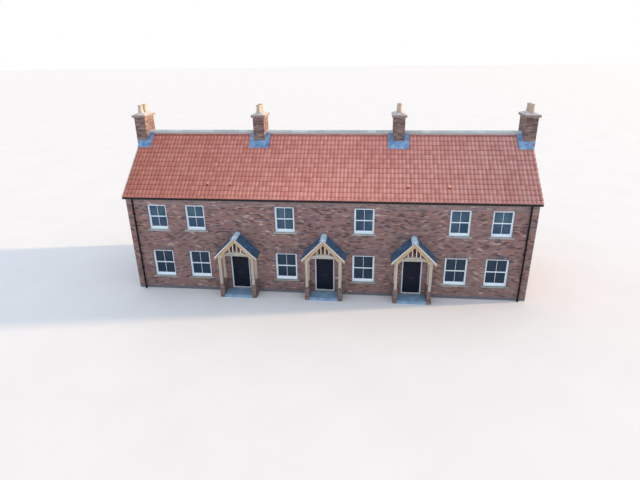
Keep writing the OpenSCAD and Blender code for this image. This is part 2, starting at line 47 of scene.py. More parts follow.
# sizes that more than one piece uses, in metres
row = dict(halfLength=10.32, halfDepth=3.2, lowerHead=2.275, upperHead=4.825, lowerWindow=(1.135, 1.5),
           upperWindow=(1.01, 1.35), windowXs=(-8.73, -6.71, -2.02, 2.02, 6.71, 8.73),
           doorXs=(-4.52, 0.0, 4.52), doorWidth=1.02)
roof = dict(pitch=math.radians(39), ridgeZ=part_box("roof_front")[1].z, vergeX=10.41, underDrop=0.235)
stack = dict(xs=(-10.21, -3.68, 3.68, 10.21), width=0.58, depth=1.115, courses=30, lift=0.002,
             top=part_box("chimney_stacks")[1].z, corbelLow=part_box("chimney_stacks")[0].z)
porch = dict(pitch=math.radians(45.5), top=3.51, half=1.135, frontY=-4.08, wallY=-3.2, shadeFrom=0.2,
             shadeDrop=0.15)
levels = (("lower", row["lowerHead"], row["lowerWindow"]), ("upper", row["upperHead"], row["upperWindow"]))
slope = math.tan(roof["pitch"])
porchSlope = math.tan(porch["pitch"])


def roofTop(y):
    return roof["ridgeZ"] - abs(y) * slope


def srgb(r, g, b):
    return tuple(((c / 255 + 0.055) / 1.055) ** 2.4 for c in (r, g, b)) + (1.0,)


# node helpers, for the world, materials and geometry trees alike
def isSocket(value):
    return isinstance(value, bpy.types.NodeSocket)


def feed(node, inputs):  # a socket is linked, anything else is a plain value
    for key, value in inputs.items():
        if isSocket(value):
            node.id_data.links.new(value, node.inputs[key])
        else:
            node.inputs[key].default_value = value
    return node


def addNode(kind, inputs, **settings):  # in the tree of the sockets that feed it
    return addFirst(next(filter(isSocket, inputs.values())).id_data, kind, inputs, **settings)


def addFirst(tree, kind, inputs=None, **settings):  # a node that no socket feeds yet
    node = tree.nodes.new(kind)
    for key, value in settings.items():
        setattr(node, key, value)
    return feed(node, inputs or {})


def calc(operation, a, b=0.0):
    return addNode("ShaderNodeMath", {0: a, 1: b}, operation=operation).outputs[0]


def plus(a, b):
    return calc("ADD", a, b)


def minus(a, b):
    return calc("SUBTRACT", a, b)


def times(a, b):
    return calc("MULTIPLY", a, b)


def axes(vector):
    return tuple(addNode("ShaderNodeSeparateXYZ", {0: vector}).outputs)


def joined(x, y, z=0.0):
    return addNode("ShaderNodeCombineXYZ", {0: x, 1: y, 2: z}).outputs[0]


def noise(vector, scale, detail, **more):
    inputs = {"Vector": vector, "Scale": scale, "Detail": detail, **more}
    return addNode("ShaderNodeTexNoise", inputs).outputs["Fac"]


def spread(value, low, high):  # 0 at low, 1 at high
    node = addNode("ShaderNodeMapRange", {"Value": value, "From Min": low, "From Max": high})
    return node.outputs["Result"]


def blendColours(factor, first, second, mode="MIX"):
    return addNode("ShaderNodeMix", {"Factor": factor, 6: first, 7: second},
                   data_type="RGBA", blend_type=mode).outputs[2]


def tint(colour, mask, share, target):
    return blendColours(times(mask, share), colour, srgb(*target))


def colourRamp(factor, stops):
    node = addNode("ShaderNodeValToRGB", {"Fac": factor})
    while len(node.color_ramp.elements) < len(stops):
        node.color_ramp.elements.new(0.5)
    for element, (place, colour) in zip(node.color_ramp.elements, stops):
        element.position, element.color = place, srgb(*colour)
    return node.outputs["Color"]


def newTree(name, kind, inputs, outputs):
    tree = bpy.data.node_groups.new(name, kind)
    for label, socketKind, value in inputs:
        socket = tree.interface.new_socket(label, in_out="INPUT", socket_type="NodeSocket" + socketKind)
        if value is not None:
            socket.default_value = value
    for label, socketKind in outputs:
        tree.interface.new_socket(label, in_out="OUTPUT", socket_type="NodeSocket" + socketKind)
    return tree, tree.nodes.new("NodeGroupInput").outputs, tree.nodes.new("NodeGroupOutput").inputs


def putOut(tree, out, **values):
    for label, value in values.items():
        tree.links.new(value, out[label])
    return tree


def useGroup(group, **inputs):
    return addNode("ShaderNodeGroup", inputs, node_tree=group).outputs


# camera and light
view = dict(place=(2.23, -25.56, 12.28), yaw=-6.2464, pitch=22.2073, roll=-0.8776, lens=26.66, sensor=36)
light = dict(sky=(0.94, 0.97, 1.0, 1), skyPower=1.1, sunColour=(1.0, 0.67, 0.36), sunPower=7.0,
             sunHeight=9, sunBearing=10, sunSize=3)


def placeCamera():
    yaw, pitch, roll = (math.radians(view[k]) for k in ("yaw", "pitch", "roll"))
    ahead = Vector((math.sin(yaw) * math.cos(pitch), math.cos(yaw) * math.cos(pitch), -math.sin(pitch)))
    level = Vector((math.cos(yaw), -math.sin(yaw), 0))
    upward = level.cross(ahead)
    right = math.cos(roll) * level + math.sin(roll) * upward
    top = math.cos(roll) * upward - math.sin(roll) * level
    camera = bpy.data.objects.new("camera", bpy.data.cameras.new("camera"))
    scene.collection.objects.link(camera)
    camera.matrix_world = (Matrix.Translation(view["place"])
                           @ Matrix((right, top, -ahead)).transposed().to_4x4())
    camera.data.lens, camera.data.sensor_width = view["lens"], view["sensor"]
    scene.camera = camera


def lightScene():
    world = bpy.data.worlds.new("softSky")
    scene.world = world
    world.use_nodes = True
    tree = world.node_tree
    sky = feed(tree.nodes["Background"], {"Color": light["sky"], "Strength": light["skyPower"]})
    paper = addFirst(tree, "ShaderNodeBackground", {"Color": (1, 1, 1, 1)})
    path = addFirst(tree, "ShaderNodeLightPath").outputs
    seen = calc("MAXIMUM", path["Is Camera Ray"], path["Is Glossy Ray"])
    seen = calc("MAXIMUM", seen, path["Is Transmission Ray"])
    mix = addNode("ShaderNodeMixShader", {0: seen, 1: sky.outputs[0], 2: paper.outputs[0]})
    tree.links.new(mix.outputs[0], tree.nodes["World Output"].inputs[0])
    sun = bpy.data.objects.new("lowSun", bpy.data.lights.new("lowSun", "SUN"))
    sun.data.energy, sun.data.color = light["sunPower"], light["sunColour"]
    sun.data.angle = math.radians(light["sunSize"])
    rise, bearing = math.radians(light["sunHeight"]), math.radians(light["sunBearing"])
    toSun = Vector((math.cos(rise) * math.cos(bearing), math.cos(rise) * math.sin(bearing), math.sin(rise)))
    sun.rotation_mode = "QUATERNION"
    sun.rotation_quaternion = toSun.to_track_quat("Z", "Y")
    scene.collection.objects.link(sun)


placeCamera()
lightScene()
print("camera and light placed")


# shared surface effects
def makeGritGroup():  # coarse and fine grain of baked clay, stone and mortar
    group, given, out = newTree(
        "grit", "ShaderNodeTree",
        [("Vector", "Vector", None), ("Coarse", "Float", 6.0), ("Fine", "Float", 90.0)],
        [("Patch", "Float"), ("Speck", "Float"), ("Height", "Float")])
    coarse = noise(given["Vector"], given["Coarse"], 4.0, Roughness=0.6)
    fine = noise(given["Vector"], given["Fine"], 3.0, Roughness=0.7)
    return putOut(group, out, Patch=spread(coarse, 0.32, 0.68), Speck=spread(fine, 0.3, 0.7),
                  Height=plus(times(coarse, 0.4), fine))


def makeGrainGroup():  # long streaks along the local X of the vector given
    group, given, out = newTree(
        "grain", "ShaderNodeTree",
        [("Vector", "Vector", None), ("Width", "Float", 38.0), ("Stretch", "Float", 0.06)],
        [("Streak", "Float"), ("Pore", "Float"), ("Height", "Float")])
    x, y, z = axes(given["Vector"])
    squeezed = joined(times(x, given["Stretch"]), y, z)
    broad = noise(squeezed, given["Width"], 3.0, Distortion=0.6)
    pores = noise(squeezed, times(given["Width"], 5.0), 4.0)
    return putOut(group, out, Streak=spread(broad, 0.35, 0.65), Pore=spread(pores, 0.4, 0.6),
                  Height=plus(broad, times(pores, 0.5)))


def makeDarkeningGroup():  # a mask full at Low and below, gone by High, broken into vertical streaks; the materials darken with it
    group, given, out = newTree("darkening", "ShaderNodeTree",
                                [("Vector", "Vector", None), ("Low", "Float", 0.0), ("High", "Float", 1.2)],
                                [("Mask", "Float")])
    x, y, z = axes(given["Vector"])
    streak = noise(joined(x, y, times(z, 0.15)), 3.5, 5.0)
    return putOut(group, out, Mask=times(spread(z, given["High"], given["Low"]),
                                         spread(streak, 0.25, 0.75)))


gritGroup, grainGroup, darkeningGroup = makeGritGroup(), makeGrainGroup(), makeDarkeningGroup()


def gritOf(where, coarse, fine):
    return useGroup(gritGroup, Vector=where, Coarse=coarse, Fine=fine)


def darkeningOf(where, low, high):
    return useGroup(darkeningGroup, Vector=where, Low=low, High=high)["Mask"]


def toneOf(where, name="tone"):
    return addFirst(where.id_data, "ShaderNodeAttribute", attribute_name=name).outputs["Fac"]


def newMaterial(name, **plain):  # plain values go straight on the shader's own sockets
    material = bpy.data.materials.new(name)
    material.use_nodes = True
    tree = material.node_tree
    feed(tree.nodes["Principled BSDF"], {key.replace("_", " "): value for key, value in plain.items()})
    return material, addFirst(tree, "ShaderNodeTexCoord").outputs["Object"]


def finishSurface(material, colour, rough, bump):  # rough and bump hold three values each
    tree = material.node_tree
    base, mask, share = rough
    height, distance, strength = bump
    normal = addNode("ShaderNodeBump", {"Height": height, "Distance": distance, "Strength": strength})
    feed(tree.nodes["Principled BSDF"],
         {"Base Color": colour, "Normal": normal.outputs[0],
          "Roughness": plus(base, times(mask, share))})
    return material


# materials
brickLook = dict(
    house=[(0.0, (76, 64, 72)), (0.14, (110, 89, 91)), (0.32, (148, 112, 107)), (0.52, (146, 120, 122)),
           (0.68, (118, 105, 112)), (0.82, (154, 107, 98)), (0.92, (158, 138, 134)), (0.97, (172, 154, 147)),
           (1.0, (204, 186, 174))],
    stack=[(0.0, (84, 70, 72)), (0.3, (108, 90, 91)), (0.6, (124, 106, 106)), (0.85, (138, 116, 108)),
           (1.0, (160, 140, 130))],
    pier=[(0.0, (84, 70, 74)), (0.3, (114, 94, 94)), (0.6, (124, 108, 110)), (0.85, (136, 110, 102)),
          (1.0, (150, 134, 126))],
    # the last mark is painted shade on the bricks under the porch roofs; upright bricks take a share of its
    # dark tone
    marks=(("plinth", 1.0, (100, 108, 124)), ("eaves", 0.6, (160, 150, 154)),
           ("shadeAndUprightDark", 0.6, (58, 48, 50))),
    mortar=(142, 138, 144), lowDark=(98, 86, 84), mottle=0.35)
tileLook = dict(tones=[(0.0, (202, 127, 119)), (0.5, (216, 146, 140)), (1.0, (228, 162, 156))],
                lichen=(208, 150, 142), dirtAndShade=(110, 62, 56), stainAndShade=0.45, stainShadeDrop=0.185, stainShadeFade=0.025,
                # ends: painted shade toward both ends of the row, with a shift in hue
                ends=((0.78, 0.7, 0.62, 1.0), (0.8, 0.975, 1.03, 1.0)), endShadeSpan=(1.0, 10.4),
                low=(1.11, 1.15, 1.11, 1.0), lowAcross=(9.5, 3.0), lowDown=(7.2, 5.5))
paneLook = dict(tones=[(0.3, (30, 49, 76)), (0.5, (55, 83, 110)), (0.7, (78, 104, 124))],
                darkSteps=((4.15, 0.3, (22, 50, 88)), (3.0, 0.82, (8, 32, 56))))
oakLook = dict(
    warm=[(0.0, (196, 160, 120)), (0.5, (212, 184, 148)), (1.0, (224, 206, 178))],
    rafter=[(0.0, (182, 144, 104)), (0.5, (200, 168, 126)), (1.0, (214, 188, 150))],
    pale=[(0.0, (222, 222, 222)), (0.5, (234, 235, 236)), (1.0, (244, 245, 246))],
    barge=[(0.0, (166, 145, 119)), (0.5, (182, 165, 140)), (1.0, (197, 184, 164))],
    beam=[(0.0, (142, 140, 134)), (0.5, (162, 162, 158)), (1.0, (182, 182, 178))],
    post=[(0.0, (166, 150, 138)), (0.5, (184, 172, 162)), (1.0, (200, 190, 182))],
    # struts: paler than the other oak, painted light so they read lit in the shade of the porch roof
    strut=[(0.0, (196, 184, 166)), (0.5, (216, 206, 190)), (1.0, (230, 222, 210))],
    pore=(132, 96, 62), bleached=(186, 182, 168), grey=(148, 156, 162))


def brickMaterial(name, stops):
    material, where = newMaterial(name)
    grit = gritOf(where, 0.9, 120.0)
    tone = plus(times(toneOf(where), 0.97), times(grit["Patch"], 0.12))
    colour = colourRamp(minus(tone, 0.06), stops)
    shade = spread(noise(where, 34.0, 5.0), 0.2, 0.9)
    colour = blendColours(brickLook["mottle"], colour, shade, "OVERLAY")
    for mark, share, target in brickLook["marks"]:
        colour = tint(colour, toneOf(where, mark), share, target)
    # darker toward the bottom of the walls
    colour = tint(colour, darkeningOf(where, 0.1, 4.0), 0.5, brickLook["lowDark"])
    return finishSurface(material, colour, (0.78, grit["Speck"], 0.18), (grit["Height"], 0.003, 0.6))


def drawnBricks(where, foot, course, joint, first, second, mortar):
    x, y, z = axes(where)
    return addNode("ShaderNodeTexBrick",
                   {"Vector": joined(plus(x, y), minus(z, foot)), "Color1": srgb(*first),
                    "Color2": srgb(*second), "Mortar": srgb(*mortar), "Scale": 1.0, "Mortar Size": joint,
                    "Brick Width": 0.225, "Row Height": course}).outputs


def coreMaterial():  # mortar of the walls, with bricks drawn on the reveals that carry no brick slips
    material, where = newMaterial("wallCore")
    bricks = drawnBricks(where, 0.025, 0.075, 0.005, (142, 104, 98), (112, 90, 92), brickLook["mortar"])
    grit = gritOf(where, 4.0, 150.0)
    colour = tint(bricks["Color"], grit["Speck"], 0.3, (120, 106, 100))
    return finishSurface(material, colour, (0.85, grit["Patch"], 0.1),
                         (minus(grit["Height"], bricks["Fac"]), 0.004, 0.5))


def capMaterial():  # brick sides under sloped mortar
    material, where = newMaterial("stackCap")
    bricks = drawnBricks(where, stack["top"], 0.06, 0.006, (150, 130, 126), (124, 106, 104),
                         (150, 142, 138))
    grit = gritOf(where, 5.0, 110.0)
    mortar = colourRamp(grit["Patch"],
                        [(0.0, (152, 152, 158)), (0.6, (180, 180, 188)), (1.0, (198, 198, 206))])
    up = axes(addFirst(where.id_data, "ShaderNodeNewGeometry").outputs["Normal"])[2]
    colour = blendColours(spread(up, 0.15, 0.3), bricks["Color"], mortar)
    return finishSurface(material, colour, (0.8, grit["Speck"], 0.15), (grit["Height"], 0.004, 0.6))


def weatherTiles(where, colour):
    x, y, z = axes(where)
    stainShadeFrom = roof["ridgeZ"] - tileLook["stainShadeDrop"]  # dirt washed down from the ridge mortar, and painted shade under the ridge tiles
    fade = spread(z, stainShadeFrom, stainShadeFrom + tileLook["stainShadeFade"])
    colour = tint(colour, fade, tileLook["stainAndShade"], tileLook["dirtAndShade"])
    for side, endShade in zip((-1, 1), tileLook["ends"]):  # painted shade: the tiles darken toward both ends of the row, with a shift in hue
        near, far = (side * away for away in tileLook["endShadeSpan"])
        colour = blendColours(spread(x, near, far), colour, endShade, "MULTIPLY")
    middle = spread(calc("ABSOLUTE", x), *tileLook["lowAcross"])  # lighter toward the eaves between them
    amount = times(middle, spread(z, *tileLook["lowDown"]))
    return blendColours(amount, colour, tileLook["low"], "MULTIPLY")


def clayMaterial(name, stops, patch, patchShare, coarse, fine, rough, dirtAndShade=(60, 40, 38), weather=None):
    material, where = newMaterial(name)
    grit = gritOf(where, coarse, fine)
    tone = plus(times(toneOf(where), 0.75), times(grit["Patch"], 0.25))
    growth = spread(noise(where, coarse * 4, 6.0, Roughness=0.7), 0.52, 0.72)
    colour = tint(colourRamp(tone, stops), growth, patchShare, patch)
    # dirt and painted shade carried by the tile meshes
    colour = tint(colour, toneOf(where, "dirtAndShade"), 0.6, dirtAndShade)
    if weather:
        colour = weather(where, colour)
    return finishSurface(material, colour, (rough, grit["Speck"], 0.15), (grit["Height"], 0.002, 0.5))


def leadMaterial(name, rough, *tones):
    material, where = newMaterial(name, Metallic=0.25)
    grit = gritOf(where, 3.2, 60.0)
    bloom = noise(where, 9.0, 6.0, Distortion=1.2)
    tone = plus(times(grit["Patch"], 0.6), times(bloom, 0.4))
    return finishSurface(material, colourRamp(tone, tones), (rough, bloom, 0.25),
                         (grit["Height"], 0.004, 0.4))


def paintMaterial(name, colour, patchTone, rough, specular=0.5):
    material, where = newMaterial(name, Specular_IOR_Level=specular)
    grain = useGroup(grainGroup, Vector=where, Width=30.0, Stretch=0.2)
    grit = gritOf(where, 7.0, 80.0)
    colour = tint(srgb(*colour), grit["Patch"], 0.35, patchTone)
    return finishSurface(material, colour, (rough, grit["Speck"], 0.1), (grain["Height"], 0.0008, 0.4))


def stoneMaterial(name, growth, growthShare, *tones):
    material, where = newMaterial(name)
    grit = gritOf(where, 3.0, 140.0)
    darkening = darkeningOf(where, 0.4, 3.0)
    colour = tint(colourRamp(grit["Patch"], tones), darkening, growthShare, growth)
    colour = tint(colour, grit["Speck"], 0.2, (120, 112, 100))
    return finishSurface(material, colour, (0.75, grit["Speck"], 0.2), (grit["Height"], 0.003, 0.5))


def oakMaterial(name, tones, way, pores=0.25, greying=0.35):  # grain along x, y, z or down the porch slopes
    material, where = newMaterial(name)
    parts = axes(where)
    if way == "slope":
        bay = row["doorXs"][2]
        centre = times(calc("ROUND", calc("DIVIDE", parts[0], bay)), bay)
        side = calc("ABSOLUTE", minus(parts[0], centre))
        turned = addNode("ShaderNodeVectorRotate",
                         {"Vector": joined(side, parts[1], parts[2]), "Angle": -porch["pitch"]},
                         rotation_type="Y_AXIS").outputs[0]
    else:
        turned = joined(*(parts["xyz".index(axis)] for axis in dict(x="xyz", y="yxz", z="zyx")[way]))
    grain = useGroup(grainGroup, Vector=turned, Width=24.0, Stretch=0.05)
    colour = colourRamp(grain["Streak"], oakLook[tones])
    colour = tint(colour, grain["Pore"], pores, oakLook["pore"])
    weather = spread(noise(where, 2.6, 4.0), 0.4, 0.7)
    colour = tint(colour, weather, 0.3, oakLook["bleached"])
    colour = tint(colour, darkeningOf(where, 0.7, 2.0), greying, oakLook["grey"])
    return finishSurface(material, colour, (0.6, grain["Pore"], 0.2), (grain["Height"], 0.002, 0.5))


def glassMaterial():  # painted reflection and shade: blue tones for the sky reflected in the panes and the dark rooms behind, darker behind the lower sashes and in the ground floor windows
    material, where = newMaterial("darkPane", Metallic=0.0, Transmission_Weight=0.1, IOR=1.5,
                                  Specular_Tint=(0.66, 0.86, 1.0, 1.0))
    drift = noise(where, 1.1, 3.0)
    colour = colourRamp(drift, paneLook["tones"])
    z = axes(where)[2]
    for below, share, target in paneLook["darkSteps"]:
        colour = tint(colour, calc("LESS_THAN", z, below), share, target)
    return finishSurface(material, colour, (0.0, drift, 0.08), (noise(where, 2.4, 1.0), 0.004, 0.3))


def plainMaterial(name, colour, rough, metal=0.0):
    material, where = newMaterial(name, Metallic=metal)
    grit = gritOf(where, 8.0, 120.0)
    colour = tint(srgb(*colour), grit["Patch"], 0.6, [min(255, c + 22) for c in colour])
    return finishSurface(material, colour, (rough, grit["Speck"], 0.12), (grit["Height"], 0.0008, 0.3))


finishes = dict(
    brick=brickMaterial("houseBrick", brickLook["house"]),
    stackBrick=brickMaterial("stackBrick", brickLook["stack"]),
    pierBrick=brickMaterial("pierBrick", brickLook["pier"]),
    core=coreMaterial(), cap=capMaterial(),
    tile=clayMaterial("panTile", tileLook["tones"], tileLook["lichen"], 0.35, 0.5, 90.0, 0.68,
                      tileLook["dirtAndShade"], weatherTiles),
    vent=clayMaterial("ventTile", [(0.0, (204, 140, 134)), (1.0, (216, 154, 148))], tileLook["lichen"],
                      0.3, 3.0, 90.0, 0.7),
    ridge=clayMaterial("ridgeTile", [(0.0, (154, 166, 170)), (0.5, (177, 190, 194)), (1.0, (196, 206, 210))],
                       (154, 172, 171), 0.6, 2.2, 80.0, 0.75),
    pot=clayMaterial("buffPot", [(0.0, (174, 160, 150)), (0.5, (192, 184, 175)), (1.0, (205, 200, 193))],
                     (180, 160, 148), 0.5, 4.0, 90.0, 0.7),
    slate=clayMaterial("blueSlate", [(0.0, (38, 70, 106)), (0.5, (53, 92, 130)), (1.0, (76, 118, 158))],
                       (100, 126, 148), 0.3, 3.0, 70.0, 0.5, (28, 44, 66)),
    # lead: grey lead with painted sky reflection in its blue; the porch caps are a paler copy, painted sky
    # reflection on their tops
    lead=leadMaterial("roofLead", 0.45, (0.2, (81, 117, 162)), (0.5, (112, 151, 196)),
                      (0.85, (151, 185, 220))),
    bandLead=leadMaterial("bandLead", 0.5, (0.2, (92, 100, 116)), (0.55, (116, 124, 138)),
                          (0.85, (140, 148, 160))),
    porchLead=leadMaterial("porchLead", 0.42, (0.2, (176, 210, 244)), (0.6, (202, 231, 255)),
                           (0.9, (218, 241, 255))),
    # white paint: its blue cast, and its bluer patches, are painted skylight
    white=paintMaterial("whitePaint", (228, 243, 255), (212, 231, 254), 0.42),
    black=paintMaterial("blackPaint", (26, 25, 30), (44, 42, 46), 0.4, 0.25),
    rainwater=paintMaterial("blackIron", (32, 30, 36), (50, 46, 52), 0.45, 0.2),
    pipe=paintMaterial("blackPipe", (10, 9, 12), (20, 19, 22), 0.6, 0.15),
    door=paintMaterial("doorPaint", (22, 28, 46), (31, 37, 56), 0.4, 0.15),
    upperSill=stoneMaterial("paleSill", (112, 122, 106), 0.85, (0.0, (141, 145, 149)), (0.5, (158, 163, 166)),
                            (1.0, (172, 177, 178))),
    slab=stoneMaterial("floorSlab", (130, 130, 120), 0.1, (0.0, (150, 146, 138)), (1.0, (172, 168, 160))),
    # porch paving: its blue is painted skylight of the shade under the porches
    skylitPaving=stoneMaterial("skylitPorchPaving", (104, 124, 138), 0.4, (0.0, (112, 148, 186)), (0.5, (128, 168, 210)),
                         (1.0, (148, 186, 224))),
    boards=oakMaterial("floorBoards", "warm", "x"), plate=oakMaterial("oakDeep", "warm", "y"),
    post=oakMaterial("oakUpright", "post", "z", 0.25, 0.9), rafter=oakMaterial("oakSlope", "rafter", "slope"),
    paleOak=oakMaterial("paleOak", "pale", "slope", 0.08), bargeOak=oakMaterial("bargeOak", "barge", "slope"),
    # strutOak: painted light on the struts
    beamOak=oakMaterial("beamOak", "beam", "x", 0.15), strutOak=oakMaterial("strutOak", "strut", "z", 0.1),
    party=plainMaterial("plaster", (206, 200, 190), 0.8),
    underlay=plainMaterial("underlay", (58, 50, 46), 0.9),
    # sootAndShade: dark discs in the pots, soot and painted shade
    bedding=plainMaterial("bedding", (186, 168, 158), 0.85), sootAndShade=plainMaterial("sootAndShade", (34, 31, 30), 0.9),
    ridgeMortar=plainMaterial("ridgeMortar", (182, 186, 192), 0.9),
    # dark face on the vent hoods: painted shade of their mouths
    mouthShade=plainMaterial("ventMouthShade", (88, 46, 42), 0.9),
    darkMetal=plainMaterial("darkMetal", (44, 45, 50), 0.35, 0.6), glass=glassMaterial())
print("materials made:", len(finishes))

nodeFinish = dict(
    core="front_wall_a front_wall_b front_wall_c front_wall_d front_wall_upper rear_wall_lower "
         "rear_wall_upper gable_walls chimney_stacks porch_dwarf_walls",
    slab="ground_floor", boards="first_floor", party="party_walls", cap="chimney_caps", pot="chimney_pots",
    vent="roof_vents", black="fascias", rainwater="gutters", pipe="downpipes", upperSill="window_sills",
    glass="glass_front glass_rear", white="door_frames rear_door_frames",
    door="rear_doors door_left door_middle door_right", skylitPaving="porch_floors",
    post="porch_posts porch_braces", plate="porch_plates", beamOak="porch_tie_beams",
    strutOak="porch_struts", rafter="porch_rafters", bargeOak="porch_barge_boards", paleOak="porch_strips",
    slate="porch_roofs", porchLead="porch_leads")
for finish, names in nodeFinish.items():
    for name in names.split():
        cad[name].data.materials.clear()
        cad[name].data.materials.append(finishes[finish])


# mesh helpers
def meshOf(verts, faces):
    mesh = bpy.data.meshes.new("shape")
    mesh.from_pydata(verts, [], faces)
    mesh.update()
    return mesh


def linkMesh(name, mesh):
    mesh.name = name
    obj = bpy.data.objects.new(name, mesh)
    scene.collection.objects.link(obj)
    return obj


def boxesMesh(boxes):
    verts, faces = [], []
    for lo, hi in boxes:
        n = len(verts)
        verts += [(x, y, z) for z in (lo[2], hi[2]) for y in (lo[1], hi[1]) for x in (lo[0], hi[0])]
        faces += [[n + i for i in f] for f in ((0, 2, 3, 1), (4, 5, 7, 6), (0, 1, 5, 4),
                                               (2, 6, 7, 3), (0, 4, 6, 2), (1, 3, 7, 5))]
    return meshOf(verts, faces)


def latheMesh(profile, sides):  # closed turned shape round the local Z, profile from axis to axis
    verts, faces, rings = [], [], []
    for radius, z in profile:
        count = sides if radius else 1
        rings.append([len(verts) + i % count for i in range(sides + 1)])
        verts += [(radius * math.cos(2 * math.pi * i / sides), radius * math.sin(2 * math.pi * i / sides), z)
                  for i in range(count)]
    for low, high in zip(rings, rings[1:]):
        faces += [list(dict.fromkeys((low[i], low[i + 1], high[i + 1], high[i]))) for i in range(sides)]
    return meshOf(verts, faces)


def sweep(rings, strip=False):  # closed solid through rings of points, its ends one face or a strip of faces
    n = len(rings[0])
    verts = [point for ring in rings for point in ring]
    last = len(verts) - n
    faces = [[a + i, a + (i + 1) % n, a + n + (i + 1) % n, a + n + i]
             for a in range(0, last, n) for i in range(n)]
    ends = [(i, i + 1, n - 2 - i, n - 1 - i) for i in range(n // 2 - 1)] if strip else [range(n)]
    for end in ends:
        faces += [list(end)[::-1], [last + i for i in end]]
    corners = [Vector(v) for v in verts]
    volume = sum(corners[f[0]].dot(corners[a].cross(corners[b])) for f in faces for a, b in zip(f[1:], f[2:]))
    return verts, faces if volume > 0 else [face[::-1] for face in faces]


def prism(axis, start, end, outline):  # outline in X or Y and Z, drawn out along Y or X
    return sweep([[(s, a, b) if axis == "x" else (a, s, b) for a, b in outline] for s in (start, end)])


def keep(obj, body, slot=None, finish=None, replaces=()):
    if finish:
        obj.data.materials.append(finishes[finish])
    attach(obj, body)
    if replaces:
        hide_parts(*replaces)


def keepParts(name, parts, *dress, **more):  # one piece of the house from several solids
    verts, faces = [], []
    for v, f in parts:
        faces += [[len(verts) + i for i in face] for face in f]
        verts += v
    keep(linkMesh(name, meshOf(verts, faces)), "house", *dress, **more)


# geometry trees
def growthTree(name, inputs):
    return newTree(name, "GeometryNodeTree",
                   [("Geometry", "Geometry", None)] + inputs + [("material", "Material", None)],
                   [("Geometry", "Geometry")])


def endTree(tree, given, out, laid, **raised):
    solid = addNode("GeometryNodeRealizeInstances", {"Geometry": laid}).outputs[0]
    if raised:
        solid = addNode("GeometryNodeTransform", {"Geometry": solid, **raised}).outputs[0]
    dressed = addNode("GeometryNodeSetMaterial", {"Geometry": solid, "Material": given["material"]})
    return putOut(tree, out, Geometry=dressed.outputs[0])


def layUnits(given, **inputs):  # instances a little out of true, each with its own tone
    low = times(given["skew"], -1.0)
    tilt = addNode("FunctionNodeRandomValue", {"Min": low, "Max": given["skew"], "Seed": given["seed"]},
                   data_type="FLOAT_VECTOR")
    laid = addNode("GeometryNodeInstanceOnPoints", {"Rotation": tilt.outputs[0], **inputs})
    chance = addNode("FunctionNodeRandomValue", {"Seed": given["seed"]}, data_type="FLOAT")
    return addNode("GeometryNodeStoreNamedAttribute",
                   {"Geometry": laid.outputs[0], "Name": "tone", "Value": chance.outputs[1]},
                   data_type="FLOAT", domain="INSTANCE").outputs[0]


def pointValue(tree, name):
    node = addFirst(tree, "GeometryNodeInputNamedAttribute", {"Name": name}, data_type="FLOAT_VECTOR")
    return node.outputs[0]


def unitOf(given):
    return addNode("GeometryNodeObjectInfo", {"Object": given["unit"]}).outputs["Geometry"]


def makeBrickTree():  # one box a point, its size read from the point
    tree, given, out = growthTree("layBricks", [("seed", "Int", 3), ("skew", "Float", 0.004)])
    cube = addFirst(tree, "GeometryNodeMeshCube", {"Size": (1, 1, 1)}).outputs["Mesh"]
    laid = layUnits(given, Points=given["Geometry"], Instance=cube, Scale=pointValue(tree, "size"))
    return endTree(tree, given, out, laid)


def makeCourseTree():  # rows and columns of one unit on a slope, laid flat and then raised to its pitch
    tree, given, out = growthTree("layCourses", [
        ("unit", "Object", None), ("columns", "Int", 4), ("courses", "Int", 4), ("width", "Float", 0.2),
        ("gauge", "Float", 0.3), ("length", "Float", 0.3), ("run", "Float", 99.0), ("offset", "Float", 0.0),
        ("stagger", "Float", 0.0), ("seed", "Int", 5), ("skew", "Float", 0.004),
        ("turn", "Vector", (0, 0, 0)), ("move", "Vector", (0, 0, 0))])
    index = addFirst(tree, "GeometryNodeInputIndex").outputs[0]
    course = calc("MODULO", index, given["courses"])
    column = calc("FLOOR", calc("DIVIDE", plus(index, 0.5), given["courses"]))
    left = minus(column, times(calc("MODULO", course, 2.0), given["stagger"]))
    start = calc("MAXIMUM", left, 0.0)
    share = minus(calc("MINIMUM", plus(left, 1.0), given["columns"]), start)
    along = minus(times(course, given["gauge"]), given["offset"])
    foot = calc("MAXIMUM", along, 0.0)
    head = calc("MINIMUM", plus(along, given["length"]), given["run"])
    reach = calc("DIVIDE", minus(head, foot), given["length"])
    points = addNode("GeometryNodePoints",
                     {"Count": times(plus(given["columns"], 1.0), given["courses"]),
                      "Position": joined(times(start, given["width"]), foot)}).outputs[0]
    whole = addNode("FunctionNodeCompare", {"A": share, "B": 0.1}, data_type="FLOAT",
                    operation="GREATER_THAN").outputs[0]
    laid = layUnits(given, Points=points, Instance=unitOf(given), Selection=whole,
                    Scale=joined(share, reach, 1.0))  # units at the ends are cut to fit
    return endTree(tree, given, out, laid, Rotation=given["turn"], Translation=given["move"])


def makePlaceTree():  # a finished unit at each point, turned by the point's own angle
    tree, given, out = growthTree("placeUnits", [("unit", "Object", None)])
    laid = addNode("GeometryNodeInstanceOnPoints",
                   {"Points": given["Geometry"], "Instance": unitOf(given),
                    "Rotation": pointValue(tree, "turn")})
    return endTree(tree, given, out, laid.outputs[0])


brickTree, courseTree, placeTree = makeBrickTree(), makeCourseTree(), makePlaceTree()


def pointMesh(places, **attributes):
    mesh = meshOf(places, [])
    for key, values in attributes.items():
        kind, field = "FLOAT", "value"
        if isinstance(values[0], tuple):
            kind, field, values = "FLOAT_VECTOR", "vector", [c for v in values for c in v]
        mesh.attributes.new(key, kind, "POINT").data.foreach_set(field, values)
    return mesh


